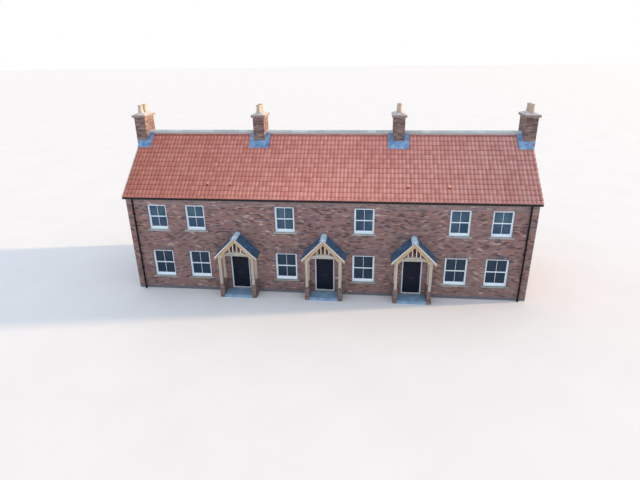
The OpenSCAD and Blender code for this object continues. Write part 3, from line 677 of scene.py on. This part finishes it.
def growPiece(name, mesh, tree, finish, **values):
    obj = linkMesh(name, mesh)
    modifier = obj.modifiers.new("grow", "NODES")
    modifier.node_group = tree
    values["material"] = finishes[finish]
    for socket in tree.interface.items_tree:
        if socket.in_out == "INPUT" and socket.name in values:
            modifier[socket.identifier] = values[socket.name]
    graph = bpy.context.evaluated_depsgraph_get()
    obj.data = bpy.data.meshes.new_from_object(obj.evaluated_get(graph), preserve_all_data_layers=True,
                                               depsgraph=graph)
    obj.modifiers.remove(modifier)
    obj.data.name = name
    return obj


def placeUnits(name, shape, places, finish, **attributes):  # the unit leaves the scene once it is copied
    unit = linkMesh(name + "_unit", shape)
    attributes.setdefault("turn", [(0, 0, 0)] * len(places))
    obj = growPiece(name, pointMesh(places, **attributes), placeTree, finish, unit=unit)
    bpy.data.objects.remove(unit)
    return obj


# brickwork
bond = dict(pitch=0.225, course=0.075, joint=0.010, start=0.025, depth=0.014, proud=0.004, shortest=0.04,
            sliver=0.012, lowest=0.02, narrowest=0.05, foot=0.004, wallTop=5.29, gableTop=7.3, plinthTop=0.18,
            eavesFrom=5.02, eavesShare=0.5, longWall=3.15, uprightPlinthShare=0.35, uprightDarkShare=0.25,
            sillOver=0.115, skew=0.003)
pier = dict(away=0.85, thick=0.23, courses=11, capPitch=0.075, capWide=0.065, capDeep=0.014, capInset=0.004,
            capShortest=0.03)


def openSpans(lo, hi, blocks):
    spans = [(lo, hi)]
    for b0, b1 in blocks:
        spans = [(a, b) for s0, s1 in spans for a, b in ((s0, min(s1, b0)), (max(s0, b1), s1))
                 if b - a > bond["sliver"]]
    return spans


def layBrick(laid, axis, face, outward, start, end, z0, z1):
    off = face + outward * (bond["proud"] - bond["depth"] / 2)
    middle, length = (start + end) / 2, end - start
    z, high = (z0 + z1 - bond["joint"]) / 2, z1 - z0 - bond["joint"]
    if axis == "x":
        laid.append(((middle, off, z), (length, bond["depth"], high)))
    else:
        laid.append(((off, middle, z), (bond["depth"], length, high)))


def layCourse(laid, axis, face, outward, lo, hi, z0, z1, blocks, odd):
    for a, b in openSpans(lo, hi, blocks):
        cuts = [a]
        edge = (math.floor(a / bond["pitch"] - 0.5 * odd) + 0.5 * odd) * bond["pitch"]
        while edge < b:
            if edge - cuts[-1] > bond["shortest"] and b - edge > bond["shortest"]:
                cuts.append(edge)
            edge += bond["pitch"]
        cuts.append(b)
        for c0, c1 in zip(cuts, cuts[1:]):
            layBrick(laid, axis, face, outward, c0 + (bond["joint"] / 2 if c0 > a else 0),
                     c1 - (bond["joint"] / 2 if c1 < b else 0), z0, z1)


def layFace(laid, axis, face, outward, zLo, zHi, start, span, blocksAt=lambda z: []):
    index, z = 0, start
    while z < zHi - bond["lowest"]:
        top = min(z + bond["course"], zHi + bond["joint"])
        if top > zLo + bond["lowest"]:
            low = max(z, zLo)
            lo, hi = span(low) if callable(span) else span
            if hi - lo > bond["narrowest"]:
                layCourse(laid, axis, face, outward, lo, hi, low, top, blocksAt((low + top) / 2), index % 2)
        z += bond["course"]
        index += 1


def lowerOpenings():
    windows = [(x, row["lowerWindow"][0]) for x in row["windowXs"]]
    return windows + [(x, row["doorWidth"]) for x in row["doorXs"]]


def wallBlocks(z):  # windows with their sills, and doors, at a height on the long walls
    blocks = []
    for level, head, (wide, high) in levels:
        for x in row["windowXs"]:
            if head - high < z < head:
                blocks.append((x - wide / 2, x + wide / 2))
            elif head - high - bond["course"] < z <= head - high:
                blocks.append((x - wide / 2 - bond["sillOver"], x + wide / 2 + bond["sillOver"]))
    if z < row["lowerHead"]:
        blocks += [(x - row["doorWidth"] / 2, x + row["doorWidth"] / 2) for x in row["doorXs"]]
    elif z < row["lowerHead"] + 3 * bond["course"]:
        blocks += [(x - wide / 2, x + wide / 2) for x, wide in lowerOpenings()]
    return blocks


def layUpright(laid, face, outward):  # bricks on end over the windows and doors of the ground floor
    half, z = bond["joint"] / 2, row["lowerHead"]
    for x, wide in lowerOpenings():
        count = round(wide / bond["course"])
        pitch = wide / count
        for i in range(count):
            start = x - wide / 2 + pitch * i
            layBrick(laid, "x", face, outward, start + half, start + pitch - half, z, z + 3 * bond["course"])


def underPorch(x, z):  # true in the gable of a porch roof, over the door head, where the bricks get painted shade
    away = min(abs(x - doorX) for doorX in row["doorXs"])
    return row["lowerHead"] + porch["shadeFrom"] < z < porch["top"] - porch["shadeDrop"] - away * porchSlope


def bricksPiece(name, laid, slot, finish, seed):
    marks = dict(plinth=[], eaves=[], shadeAndUprightDark=[])
    for (x, y, z), size in laid:
        onWall, upright = slot == "brick", size[2] > 2 * bond["course"]
        high = onWall and abs(y) >= bond["longWall"] and z >= row["upperHead"]
        shaded = y < 0 and underPorch(x, z)
        marks["plinth"].append(onWall * (1.0 if z < bond["plinthTop"] else bond["uprightPlinthShare"] * upright))
        marks["eaves"].append(high * (1.0 if z > bond["eavesFrom"] else bond["eavesShare"]))
        # painted shade on bricks under a porch roof; upright bricks take a share of the same dark tone
        marks["shadeAndUprightDark"].append(onWall * (1.0 if shaded else bond["uprightDarkShare"] * upright))
    places, sizes = zip(*laid)
    base = pointMesh(places, size=sizes, **marks)
    keep(growPiece(name, base, brickTree, finish, seed=seed, skew=bond["skew"]), "house", slot)
    print(name, len(laid), "bricks")


def gableSpan(z):
    half = min(row["halfDepth"], (roof["ridgeZ"] - roof["underDrop"] - z) / slope)
    return (-half, half)


def buildWallBricks():
    edge, start = row["halfLength"] + bond["proud"], bond["start"] - bond["course"]
    for name, side, seed in (("bricks_front", -1, 11), ("bricks_rear", 1, 12)):
        laid = []
        layFace(laid, "x", side * row["halfDepth"], side, bond["foot"], bond["wallTop"], start, (-edge, edge),
                wallBlocks)
        layUpright(laid, side * row["halfDepth"], side)
        bricksPiece(name, laid, "brick", "brick", seed)
    for name, side, seed in (("bricks_gable_left", -1, 13), ("bricks_gable_right", 1, 14)):
        laid = []
        layFace(laid, "y", side * row["halfLength"], side, bond["foot"], bond["gableTop"], start, gableSpan)
        bricksPiece(name, laid, "brick", "brick", seed)


def buildStackBricks():
    laid = []
    hw, hd = stack["width"] / 2, stack["depth"] / 2
    foot = stack["corbelLow"] + 3 * bond["course"]
    start = stack["top"] - stack["courses"] * bond["course"] + stack["lift"]
    for x in stack["xs"]:
        for side in (-1, 1):
            layFace(laid, "x", side * hd, side, foot, stack["top"], start,
                    (x - hw - bond["proud"], x + hw + bond["proud"]))
            layFace(laid, "y", x + side * hw, side, foot, stack["top"], start, (-hd, hd))
    step = (stack["xs"][3] + hw - row["halfLength"]) / 3
    for side in (-1, 1):  # stepped courses under the end stacks
        for i in (1, 2, 3):
            z0 = foot - bond["course"] * i
            out = side * (row["halfLength"] + step * (4 - i))
            lo, hi = sorted((side * row["halfLength"], out))
            layCourse(laid, "y", out, side, -hd, hd, z0, z0 + bond["course"], [], i % 2)
            for face in (-1, 1):
                layCourse(laid, "x", face * hd, face, lo, hi, z0, z0 + bond["course"], [], i % 2)
    bricksPiece("bricks_stacks", laid, "chimney_brick", "stackBrick", 15)


def buildPierBricks():
    laid = []
    low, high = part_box("porch_dwarf_walls")
    top, front, back, thick = high.z, low.y, -row["halfDepth"], pier["thick"]
    start = top - pier["courses"] * bond["course"]
    for x in row["doorXs"]:
        for centre in (x - pier["away"], x + pier["away"]):
            layFace(laid, "x", front, -1, bond["foot"], top, start, (centre - thick / 2, centre + thick / 2))
            for side in (-1, 1):
                layFace(laid, "y", centre + side * thick / 2, side, bond["foot"], top, start, (front, back))
            y = front
            while y < back - pier["capShortest"]:  # bricks on edge along the top
                wide = min(pier["capWide"], back - y)
                laid.append(((centre, y + wide / 2, top + bond["proud"] - pier["capDeep"] / 2),
                             (thick - pier["capInset"], wide, pier["capDeep"])))
                y += pier["capPitch"]
    bricksPiece("bricks_dwarf_walls", laid, "chimney_brick", "pierBrick", 16)


buildWallBricks()
buildStackBricks()
buildPierBricks()

# roof covering
pantile = dict(width=0.1945, length=0.345, columns=107, courses=15, gauge=0.300, firstGauge=0.21,
               thick=0.016, lift=0.026, dirtBand=0.014, valleyDirt=0.68, valleyTop=0.012, valleyDeep=0.017,
               lowEdge=3.411, topGap=0.02, base=-0.033, skew=0.003,
               profile=[(0.0, 0.010), (0.044, -0.005), (0.097, -0.004), (0.136, 0.017), (0.163, 0.034),
                        (0.189, 0.027), (0.207, 0.008)])
deck = dict(sink=0.068, tileDrop=0.0587, eaveY=3.35, halfX=10.37, vergeX=10.40, vergeWide=0.05, vergeY=3.36,
            vergeLow=-0.075, vergeHigh=0.004)
ridgeTile = dict(length=0.45, radius=0.125, collar=0.010, collarLength=0.05, collarEdge=0.005, overlap=0.01,
                 taper=0.001, lowAngle=5, thick=0.018, sink=0.020, steps=8, seed=31, roll=0.01, swing=0.006,
                 bed=0.094, shoulder=0.116, bedRise=0.004, bedDeep=0.03, bedShoulder=0.01, bedCrown=0.06)


def tileMesh(look):  # smooth above and below; dirt and painted shade in its valley, painted shade under the next course and underneath
    profile, gauge = look["profile"], look["gauge"]
    rings, dirtAndShade = [], []
    # painted shade ramps in just below the next course and stays under it
    for t, darkening in ((0.0, 0.0), (gauge - look["dirtBand"], 0.0), (gauge, 1.0), (look["length"], 1.0)):
        top = [(u, t, h + look["lift"] * (1 - t / gauge)) for u, h in profile]
        rings.append(top + [(x, y, z - look["thick"]) for x, y, z in reversed(top)])
        # valleys: dirt and painted shade
        dirtAndShade += [max(darkening, look["valleyDirt"] * (look["valleyTop"] - h) / look["valleyDeep"])
                 for u, h in profile]
        # underside: painted shade
        dirtAndShade += [1.0] * len(profile)
    verts, faces = sweep(rings, True)
    mesh = meshOf(verts, faces)
    n, sides = len(profile), (len(rings) - 1) * len(rings[0])
    mesh.polygons.foreach_set("use_smooth", [i < sides and i % n < n - 1 for i in range(len(faces))])
    mesh.attributes.new("dirtAndShade", "FLOAT", "POINT").data.foreach_set("value", dirtAndShade)
    return mesh


def layCourses(name, look, finish, **values):
    return growPiece(name, meshOf([], []), courseTree, finish, **{**look, **values})


def buildRoof():
    unit = linkMesh("pantileUnit", tileMesh(pantile))
    c, s = math.cos(roof["pitch"]), math.sin(roof["pitch"])
    low = pantile["lowEdge"]
    for name, side, seed, node in (("tiles_front", -1, 21, "roof_front"), ("tiles_rear", 1, 22, "roof_rear")):
        move = (side * pantile["columns"] * pantile["width"] / 2, side * (low + pantile["base"] * s),
                roofTop(low) + pantile["base"] * c)
        obj = layCourses(name, pantile, "tile", unit=unit, run=low / c - pantile["topGap"], seed=seed,
                         offset=pantile["gauge"] - pantile["firstGauge"],
                         turn=(roof["pitch"], 0, 0 if side < 0 else math.pi), move=move)
        keep(obj, "house", "pantile", replaces=(node,))
        print(name, len(obj.data.polygons), "faces")
    bpy.data.objects.remove(unit)


def buildRoofDeck():
    decks, verges = [], []
    wall, eave, edge = row["halfDepth"], deck["eaveY"], deck["vergeY"]
    sink, under, tile = deck["sink"], roof["underDrop"], deck["tileDrop"]
    low, high = deck["vergeLow"], deck["vergeHigh"]
    for side in (-1, 1):
        decks.append(prism("x", -deck["halfX"], deck["halfX"], [
            (side * y, roofTop(y) - drop)
            for y, drop in ((eave, sink), (0, sink), (0, under), (wall, under), (wall, tile), (eave, tile))]))
        strip = [(side * y, roofTop(y) + rise)
                 for y, rise in ((edge, low), (edge, high), (0, high), (0, low))]
        verges += [prism("x", end * deck["vergeX"], end * (deck["vergeX"] - deck["vergeWide"]), strip)
                   for end in (-1, 1)]
    keepParts("roof_deck", decks, finish="underlay")
    keepParts("verge_bedding", verges, finish="bedding")


def ridgeUnit():  # half round tile with a raised rim at one end
    r, collar, wide, low = (ridgeTile[k] for k in ("radius", "collar", "collarLength", "lowAngle"))
    outer = [(0.0, r + collar), (wide, r + collar), (wide + ridgeTile["collarEdge"], r),
             (ridgeTile["length"] + ridgeTile["overlap"], r - ridgeTile["taper"])]
    loop = outer + [(x, radius - ridgeTile["thick"]) for x, radius in reversed(outer)]
    steps = ridgeTile["steps"]
    angles = [math.radians(low + (180 - 2 * low) * i / steps) for i in range(steps + 1)]
    return meshOf(*sweep([[(x, radius * math.cos(a), radius * math.sin(a)) for x, radius in loop]
                          for a in angles], True))


def buildRidge():
    places, beds = [], []
    bed, shoulder, z = ridgeTile["bed"], ridgeTile["shoulder"], roof["ridgeZ"] - ridgeTile["sink"]
    foot = roofTop(bed) - ridgeTile["bedDeep"]
    rise = roofTop(bed) + ridgeTile["bedRise"]
    outline = [(-bed, foot), (0, roof["ridgeZ"] - ridgeTile["bedDeep"]), (bed, foot), (bed, rise),
               (shoulder, z + ridgeTile["bedShoulder"]), (0, z + ridgeTile["bedCrown"]),
               (-shoulder, z + ridgeTile["bedShoulder"]), (-bed, rise)]
    for left, right in zip(stack["xs"], stack["xs"][1:]):
        x0, x1 = left + stack["width"] / 2, right - stack["width"] / 2
        count = round((x1 - x0) / ridgeTile["length"])
        places += [(x0 + (x1 - x0) * i / count, 0, z) for i in range(count)]
        beds.append(prism("x", x0, x1, outline))
    random.seed(ridgeTile["seed"])
    roll, swing = ridgeTile["roll"], ridgeTile["swing"]
    turns = [(random.uniform(-roll, roll), 0, random.uniform(-swing, swing)) for place in places]
    tones = [random.random() for place in places]
    obj = placeUnits("ridge_tiles_laid", ridgeUnit(), places, "ridge", turn=turns, tone=tones)
    keep(obj, "house", "ridge", replaces=("ridge_tiles",))
    keepParts("ridge_bedding", beds, finish="ridgeMortar")
    print("ridge tiles", len(places))


buildRoof()
buildRoofDeck()
buildRidge()

# lead round the stacks
leadwork = dict(side=0.25, reach=0.8775, rise=0.040, sheet=0.004, cell=0.04, wave=0.004, waveX=31.4,
                waveY=9.0, turnDown=0.022, narrow=0.02, vergeGap=0.005, upstand=0.09, frontDrop=0.02,
                overlap=0.012, steps=13, sideRise=0.081, sideDrop=0.03, outside=0.1)


def leadSheet(x0, x1, y0, y1):
    nx, ny = (max(2, round(size / leadwork["cell"])) for size in (x1 - x0, y1 - y0))
    if y0 < 0 < y1:
        ny += ny % 2
    rings = []
    for j in range(ny + 1):
        y = y0 + (y1 - y0) * j / ny
        lowEdge = abs(y) > leadwork["reach"] - leadwork["sheet"]
        rise = leadwork["rise"] - leadwork["turnDown"] * lowEdge
        top = []
        for i in range(nx + 1):
            x = x0 + (x1 - x0) * i / nx
            wave = leadwork["wave"] * math.sin(x * leadwork["waveX"]) * math.cos(y * leadwork["waveY"])
            top.append((x, y, roofTop(y) + rise + wave))
        rings.append(top + [(x, y, z - 2 * leadwork["sheet"]) for x, y, z in reversed(top)])
    return sweep(rings, True)


def buildLead():
    sheets, boxes = [], []
    hw, hd = stack["width"] / 2, stack["depth"] / 2
    limit, reach = roof["vergeX"] - leadwork["vergeGap"], leadwork["reach"]
    proud, skin = bond["proud"], leadwork["sheet"]
    for x in stack["xs"]:
        x0, x1 = max(x - hw - leadwork["side"], -limit), min(x + hw + leadwork["side"], limit)
        for a, b, y0, y1 in ((x0, x1, -reach, -hd), (x0, x1, hd, reach), (x0, x - hw, -hd, hd),
                             (x + hw, x1, -hd, hd)):
            if b - a > leadwork["narrow"]:
                sheets.append(leadSheet(a, b, y0, y1))
        for side in (-1, 1):
            lo, hi = sorted((side * (hd + proud), side * (hd + proud + skin)))
            over, z = hw + leadwork["overlap"], roofTop(hd)
            boxes.append(((x - over, lo, z - leadwork["frontDrop"]), (x + over, hi, z + leadwork["upstand"])))
            lo, hi = sorted((x + side * (hw + proud), x + side * (hw + proud + skin)))
            if abs(lo) > row["halfLength"] + leadwork["outside"]:  # beyond the gables
                continue
            for k in range(leadwork["steps"]):  # stepped lead up the sides
                y0, y1 = (2 * hd * i / leadwork["steps"] - hd for i in (k, k + 1))
                inner, outer = sorted((abs(y0), abs(y1)))
                top = roofTop(inner if y0 * y1 > 0 else 0.0) + leadwork["sideRise"]
                boxes.append(((lo, y0, roofTop(outer) - leadwork["sideDrop"]), (hi, y1, top)))
    keepParts("lead_sheets", sheets, "lead", "lead", ("chimney_leads",))
    keep(linkMesh("lead_upstands", boxesMesh(boxes)), "house", "lead", "lead")
    print("lead dressed")


buildLead()

# sash windows
sash = dict(y=-3.11, depth=0.06, stile=0.045, head=0.042, rail=0.04, meeting=0.045, bottom=0.08, bar=0.017,
            barFront=0.003, barBack=0.002, sashStile=0.04, upper=(0.012, 0.036), lower=(0.036, 0.059),
            middle=0.015, sillBoard=0.055, sillFoot=0.002, sillOut=0.035, nosing=0.012, nosingOut=0.022)


def windowUnit(wide, high):
    side, deep, bar, meet = sash["sashStile"], sash["depth"], sash["bar"] / 2, sash["meeting"]
    h, inner, nose = wide / 2, wide / 2 - sash["stile"], sash["nosing"]
    middle, top, foot = high / 2 + sash["middle"], high - sash["head"], sash["sillBoard"]
    boxes = [((-h, 0, foot), (-inner, deep, high)), ((inner, 0, foot), (h, deep, high)),
             ((-inner, 0, top), (inner, deep, high)),
             ((-h, -sash["sillOut"], sash["sillFoot"]), (h, deep, foot - nose)),
             ((-h, -sash["nosingOut"], foot - nose), (h, deep, foot))]
    for (y0, y1), z0, z1, low, head in ((sash["upper"], middle - meet / 2, top, meet, sash["rail"]),
                                        (sash["lower"], foot, middle + meet / 2, sash["bottom"], meet)):
        boxes += [((-inner, y0, z0), (-inner + side, y1, z1)), ((inner - side, y0, z0), (inner, y1, z1)),
                  ((-inner + side, y0, z0), (inner - side, y1, z0 + low)),
                  ((-inner + side, y0, z1 - head), (inner - side, y1, z1)),
                  ((-bar, y0 + sash["barFront"], z0 + low), (bar, y1 - sash["barBack"], z1 - head))]
    return boxesMesh(boxes)


def buildWindows():
    for side, tag in ((-1, "front"), (1, "rear")):
        turned = (0, 0, 0) if side < 0 else (0, 0, math.pi)
        for level, head, (wide, high) in levels:
            places = [(x, -side * sash["y"], head - high) for x in row["windowXs"]]
            obj = placeUnits("sashes_" + tag + "_" + level, windowUnit(wide, high), places, "white",
                             turn=[turned] * len(places))
            keep(obj, "house", "white_frame", replaces=("window_frames_" + tag,))
    print("sash windows built")


buildWindows()

# porch slates and boards, with lead over them
slating = dict(gauge=0.136, length=0.27, thick=0.006, lift=0.011, courses=10, columns=4, gap=0.003, seed=51,
               skew=0.002, stagger=0.5, base=-0.020, dirtBand=0.02, valleyDirt=0.0, valleyTop=0.0,
               valleyDeep=1.0, front=0.013, back=0.005, edge=0.005)
porchDeck = dict(blunt=0.03, wallGap=0.002, slates=(-4.068, 0.008, 0.056, 0.064),
                 boards=(-3.98, 0.035, 0.06, 0.128))
porchLead = dict(cap=0.155, crown=0.07, crownRise=0.016, rise=0.001, sheet=0.006, fold=0.03, band=0.03,
                 bandLow=0.02, bandFlat=0.08, bandThick=0.006, bandInset=0.01, steps=6, gap=0.004,
                 foldFrom=0.001, foldTo=0.007)


def porchPoint(x, away, drop):  # a place on the porch roof's slope, drop under its top line
    return (x + away, porch["top"] - drop - abs(away) * porchSlope)


def buildSlates():
    wide = (porch["wallY"] - porch["frontY"] - slating["front"] - slating["back"]) / slating["columns"]
    edges = (slating["gap"] / 2, wide - slating["gap"] / 2)
    unit = linkMesh("slateUnit", tileMesh(dict(slating, profile=[(u, 0.0) for u in edges])))
    c, s = math.cos(porch["pitch"]), math.sin(porch["pitch"])
    drop = porch["half"] - slating["edge"]
    for index, x in enumerate(row["doorXs"]):
        for side in (-1, 1):
            name = "slates_%d_%s" % (index, "left" if side < 0 else "right")
            y = porch["wallY"] - slating["back"] if side < 0 else porch["frontY"] + slating["front"]
            obj = layCourses(name, slating, "slate", unit=unit, width=wide,
                             seed=slating["seed"] + index * 2 + (side > 0),
                             turn=(porch["pitch"], 0, side * math.pi / 2),
                             move=(x + side * (drop + slating["base"] * s), y,
                                   porch["top"] - drop * porchSlope + slating["base"] * c))
            keep(obj, "house", "slate")
    bpy.data.objects.remove(unit)


def slopePair(x, half, top, low):  # outline of both slopes of a porch between two depths under its top line
    blunt = porchDeck["blunt"]
    places = ((-half, low), (-half, top), (-blunt, top), (blunt, top), (half, top), (half, low),
              (0, low + blunt * porchSlope))
    return [porchPoint(x, *place) for place in places]


def buildPorchDecks():  # each deck: its front, inset, upper and lower depth
    for name, deckLook, dress in (("porch_underslates", "slates", ("slate", "slate", ("porch_roofs",))),
                                  ("porch_boarding", "boards", ("oak", "plate"))):
        front, inset, top, low = porchDeck[deckLook]
        back = porch["wallY"] - porchDeck["wallGap"]
        keepParts(name, [prism("y", front, back, slopePair(x, porch["half"] - inset, top, low))
                         for x in row["doorXs"]], *dress)


def buildPorchLead():
    caps, bands = [], []
    cap, crown, steps, flat = (porchLead[k] for k in ("cap", "crown", "steps", "bandFlat"))
    back, half = porch["wallY"] - porchLead["gap"], porch["half"] - porchLead["bandInset"]
    edge, fold = porch["frontY"] + porchLead["foldFrom"], porch["frontY"] + porchLead["foldTo"]
    rise, low, high = -porchLead["rise"], porchLead["bandLow"], -porchLead["band"]
    for x in row["doorXs"]:
        side, shoulder = porchPoint(x, cap, rise)[1], porchPoint(x, crown, rise)[1]
        angles = [math.pi * k / steps for k in range(steps + 1)]
        upper = [(x - cap, side)]
        upper += [(x - crown * math.cos(a), shoulder + porchLead["crownRise"] * math.sin(a)) for a in angles]
        upper += [(x + cap, side)]
        for y0, y1, thick in ((fold, back, porchLead["sheet"]), (edge, fold, porchLead["fold"])):
            under = [porchPoint(x, away, rise + thick) for away in (cap, crown, -crown, -cap)]
            caps.append(prism("y", y0, y1, upper + under))
        bands.append(prism("y", back - porchLead["bandThick"], back, [porchPoint(x, *at) for at in (
            (-half, low), (-half, high), (-flat, high), (flat, high), (half, high), (half, low), (flat, low),
            (-flat, low))]))
    keepParts("porch_lead_caps", caps, "porch_lead", "porchLead", ("porch_leads",))
    keepParts("porch_lead_bands", bands, "porch_lead", "bandLead")
    print("porches slated")


buildSlates()
buildPorchDecks()
buildPorchLead()

# small fittings
gutter = dict(y=3.308, endX=10.2, brackets=23, inner=0.0585, outer=0.0625, halfWide=0.012, steps=8)
collar = dict(xs=(-9.93, 9.93), heights=(0.08, 1.78, 3.48), sides=20,
              profile=[(0, 0), (0.048, 0), (0.05, 0.004), (0.05, 0.066), (0.048, 0.07), (0, 0.07)])
knob = dict(away=0.40, height=1.1, sides=24,
            profile=[(0, 0), (0.026, 0), (0.026, 0.004), (0.011, 0.008), (0.011, 0.022), (0.024, 0.034),
                     (0.027, 0.044), (0.02, 0.054), (0, 0.057)])
letterPlate = dict(height=1.05, outer=(0.13, 0.03, 0.006, 0.002), flap=(0.11, 0.018, 0.010, -0.004))
vent = dict(xs=(-6.02, -4.82, 4.12, 6.1), y=-2.79, width=0.17, height=0.088, length=0.28, backWidth=0.12,
            backHeight=0.02, rim=0.014, steps=10, rings=5, mouthShade=(-0.003, 0.004))
sootAndShade = dict(sides=24, profile=[(0, 0), (0.0885, 0), (0.0885, 0.01), (0, 0.01)], apart=0.25, drop=0.12)


def buildRainwaterFittings():
    low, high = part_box("gutters")
    angles = [math.pi * (1 + i / gutter["steps"]) for i in range(gutter["steps"] + 1)]
    wide, thin, thick = gutter["halfWide"], gutter["inner"], gutter["outer"]
    corners = ((-wide, thin), (wide, thin), (wide, thick), (-wide, thick))
    rings = [[(x, r * math.cos(a), r * math.sin(a)) for x, r in corners] for a in angles]
    places = [(gutter["endX"] * (2 * i / gutter["brackets"] - 1), side * gutter["y"], 0.5 * (low.z + high.z))
              for side in (-1, 1) for i in range(gutter["brackets"] + 1)]
    keep(placeUnits("gutter_brackets", meshOf(*sweep(rings)), places, "rainwater"), "house", "rainwater")
    places = [(x, y, z) for x in collar["xs"] for y in (-gutter["y"], gutter["y"]) for z in collar["heights"]]
    shape = latheMesh(collar["profile"], collar["sides"])
    keep(placeUnits("pipe_collars", shape, places, "pipe"), "house", "rainwater")


def buildDoorFittings():
    for body, x in zip(("door_left", "door_middle", "door_right"), row["doorXs"]):
        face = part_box(body)[0].y
        turned = latheMesh(knob["profile"], knob["sides"])
        turned.transform(Matrix.Translation((x + knob["away"], face, knob["height"]))
                         @ Matrix.Rotation(math.pi / 2, 4, "X"))
        keep(linkMesh(body + "_knob", turned), body, finish="darkMetal")
        z = letterPlate["height"]
        plate = [((x - wide, face - out, z - high), (x + wide, face + back, z + high))
                 for wide, high, out, back in (letterPlate["outer"], letterPlate["flap"])]
        keep(linkMesh(body + "_letter_plate", boxesMesh(plate)), body, finish="darkMetal")


# dark discs inside the pots: soot, and painted shade standing in for the depth of the flues
def buildPotSootAndShade():
    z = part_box("chimney_pots")[1].z - sootAndShade["drop"]
    places = [(x, y, z) for x in stack["xs"] for y in (-sootAndShade["apart"], sootAndShade["apart"])]
    keep(placeUnits("pot_soot", latheMesh(sootAndShade["profile"], sootAndShade["sides"]), places, "sootAndShade"), "house")


def ventArch(x, y, wide, high):  # half an ellipse standing on the tiles
    angles = [math.pi * i / vent["steps"] for i in range(vent["steps"] + 1)]
    return [(x + wide / 2 * math.cos(a), roofTop(y) + high * math.sin(a)) for a in angles]


def buildVents():
    hoods, mouthShades = [], []
    for x in vent["xs"]:
        rings = []
        for k in range(vent["rings"]):
            share = k / (vent["rings"] - 1)
            y = vent["y"] + share * vent["length"] * math.cos(roof["pitch"])
            arch = ventArch(x, y, vent["width"] + share * (vent["backWidth"] - vent["width"]),
                            vent["height"] + share * (vent["backHeight"] - vent["height"]))
            rings.append([(u, y, z) for u, z in arch])
        hoods.append(sweep(rings))
        # the hood is closed; a dark face at its front stands in for the shade inside the open mouth: painted
        # shade
        mouthShade = ventArch(x, vent["y"], vent["width"] - 2 * vent["rim"], vent["height"] - vent["rim"])
        mouthShades.append(prism("y", *(vent["y"] + step for step in vent["mouthShade"]), mouthShade))
    keepParts("vent_hoods", hoods, "vent", "vent", ("roof_vents",))
    keepParts("vent_mouths", mouthShades, finish="mouthShade")


buildRainwaterFittings()
buildDoorFittings()
buildPotSootAndShade()
buildVents()
print("fittings added")

# floor
ground = dict(half=300, z=-0.002, tones=[(0.0, (212, 216, 224)), (1.0, (216, 220, 228))])


def buildFloor():
    h, z = ground["half"], ground["z"]
    floor = linkMesh("floor", meshOf([(-h, -h, z), (h, -h, z), (h, h, z), (-h, h, z)], [[0, 1, 2, 3]]))
    material, where = newMaterial("studioFloor", Roughness=0.9)
    feed(material.node_tree.nodes["Principled BSDF"],
         {"Base Color": colourRamp(gritOf(where, 0.3, 20.0)["Patch"], ground["tones"])})
    floor.data.materials.append(material)


buildFloor()
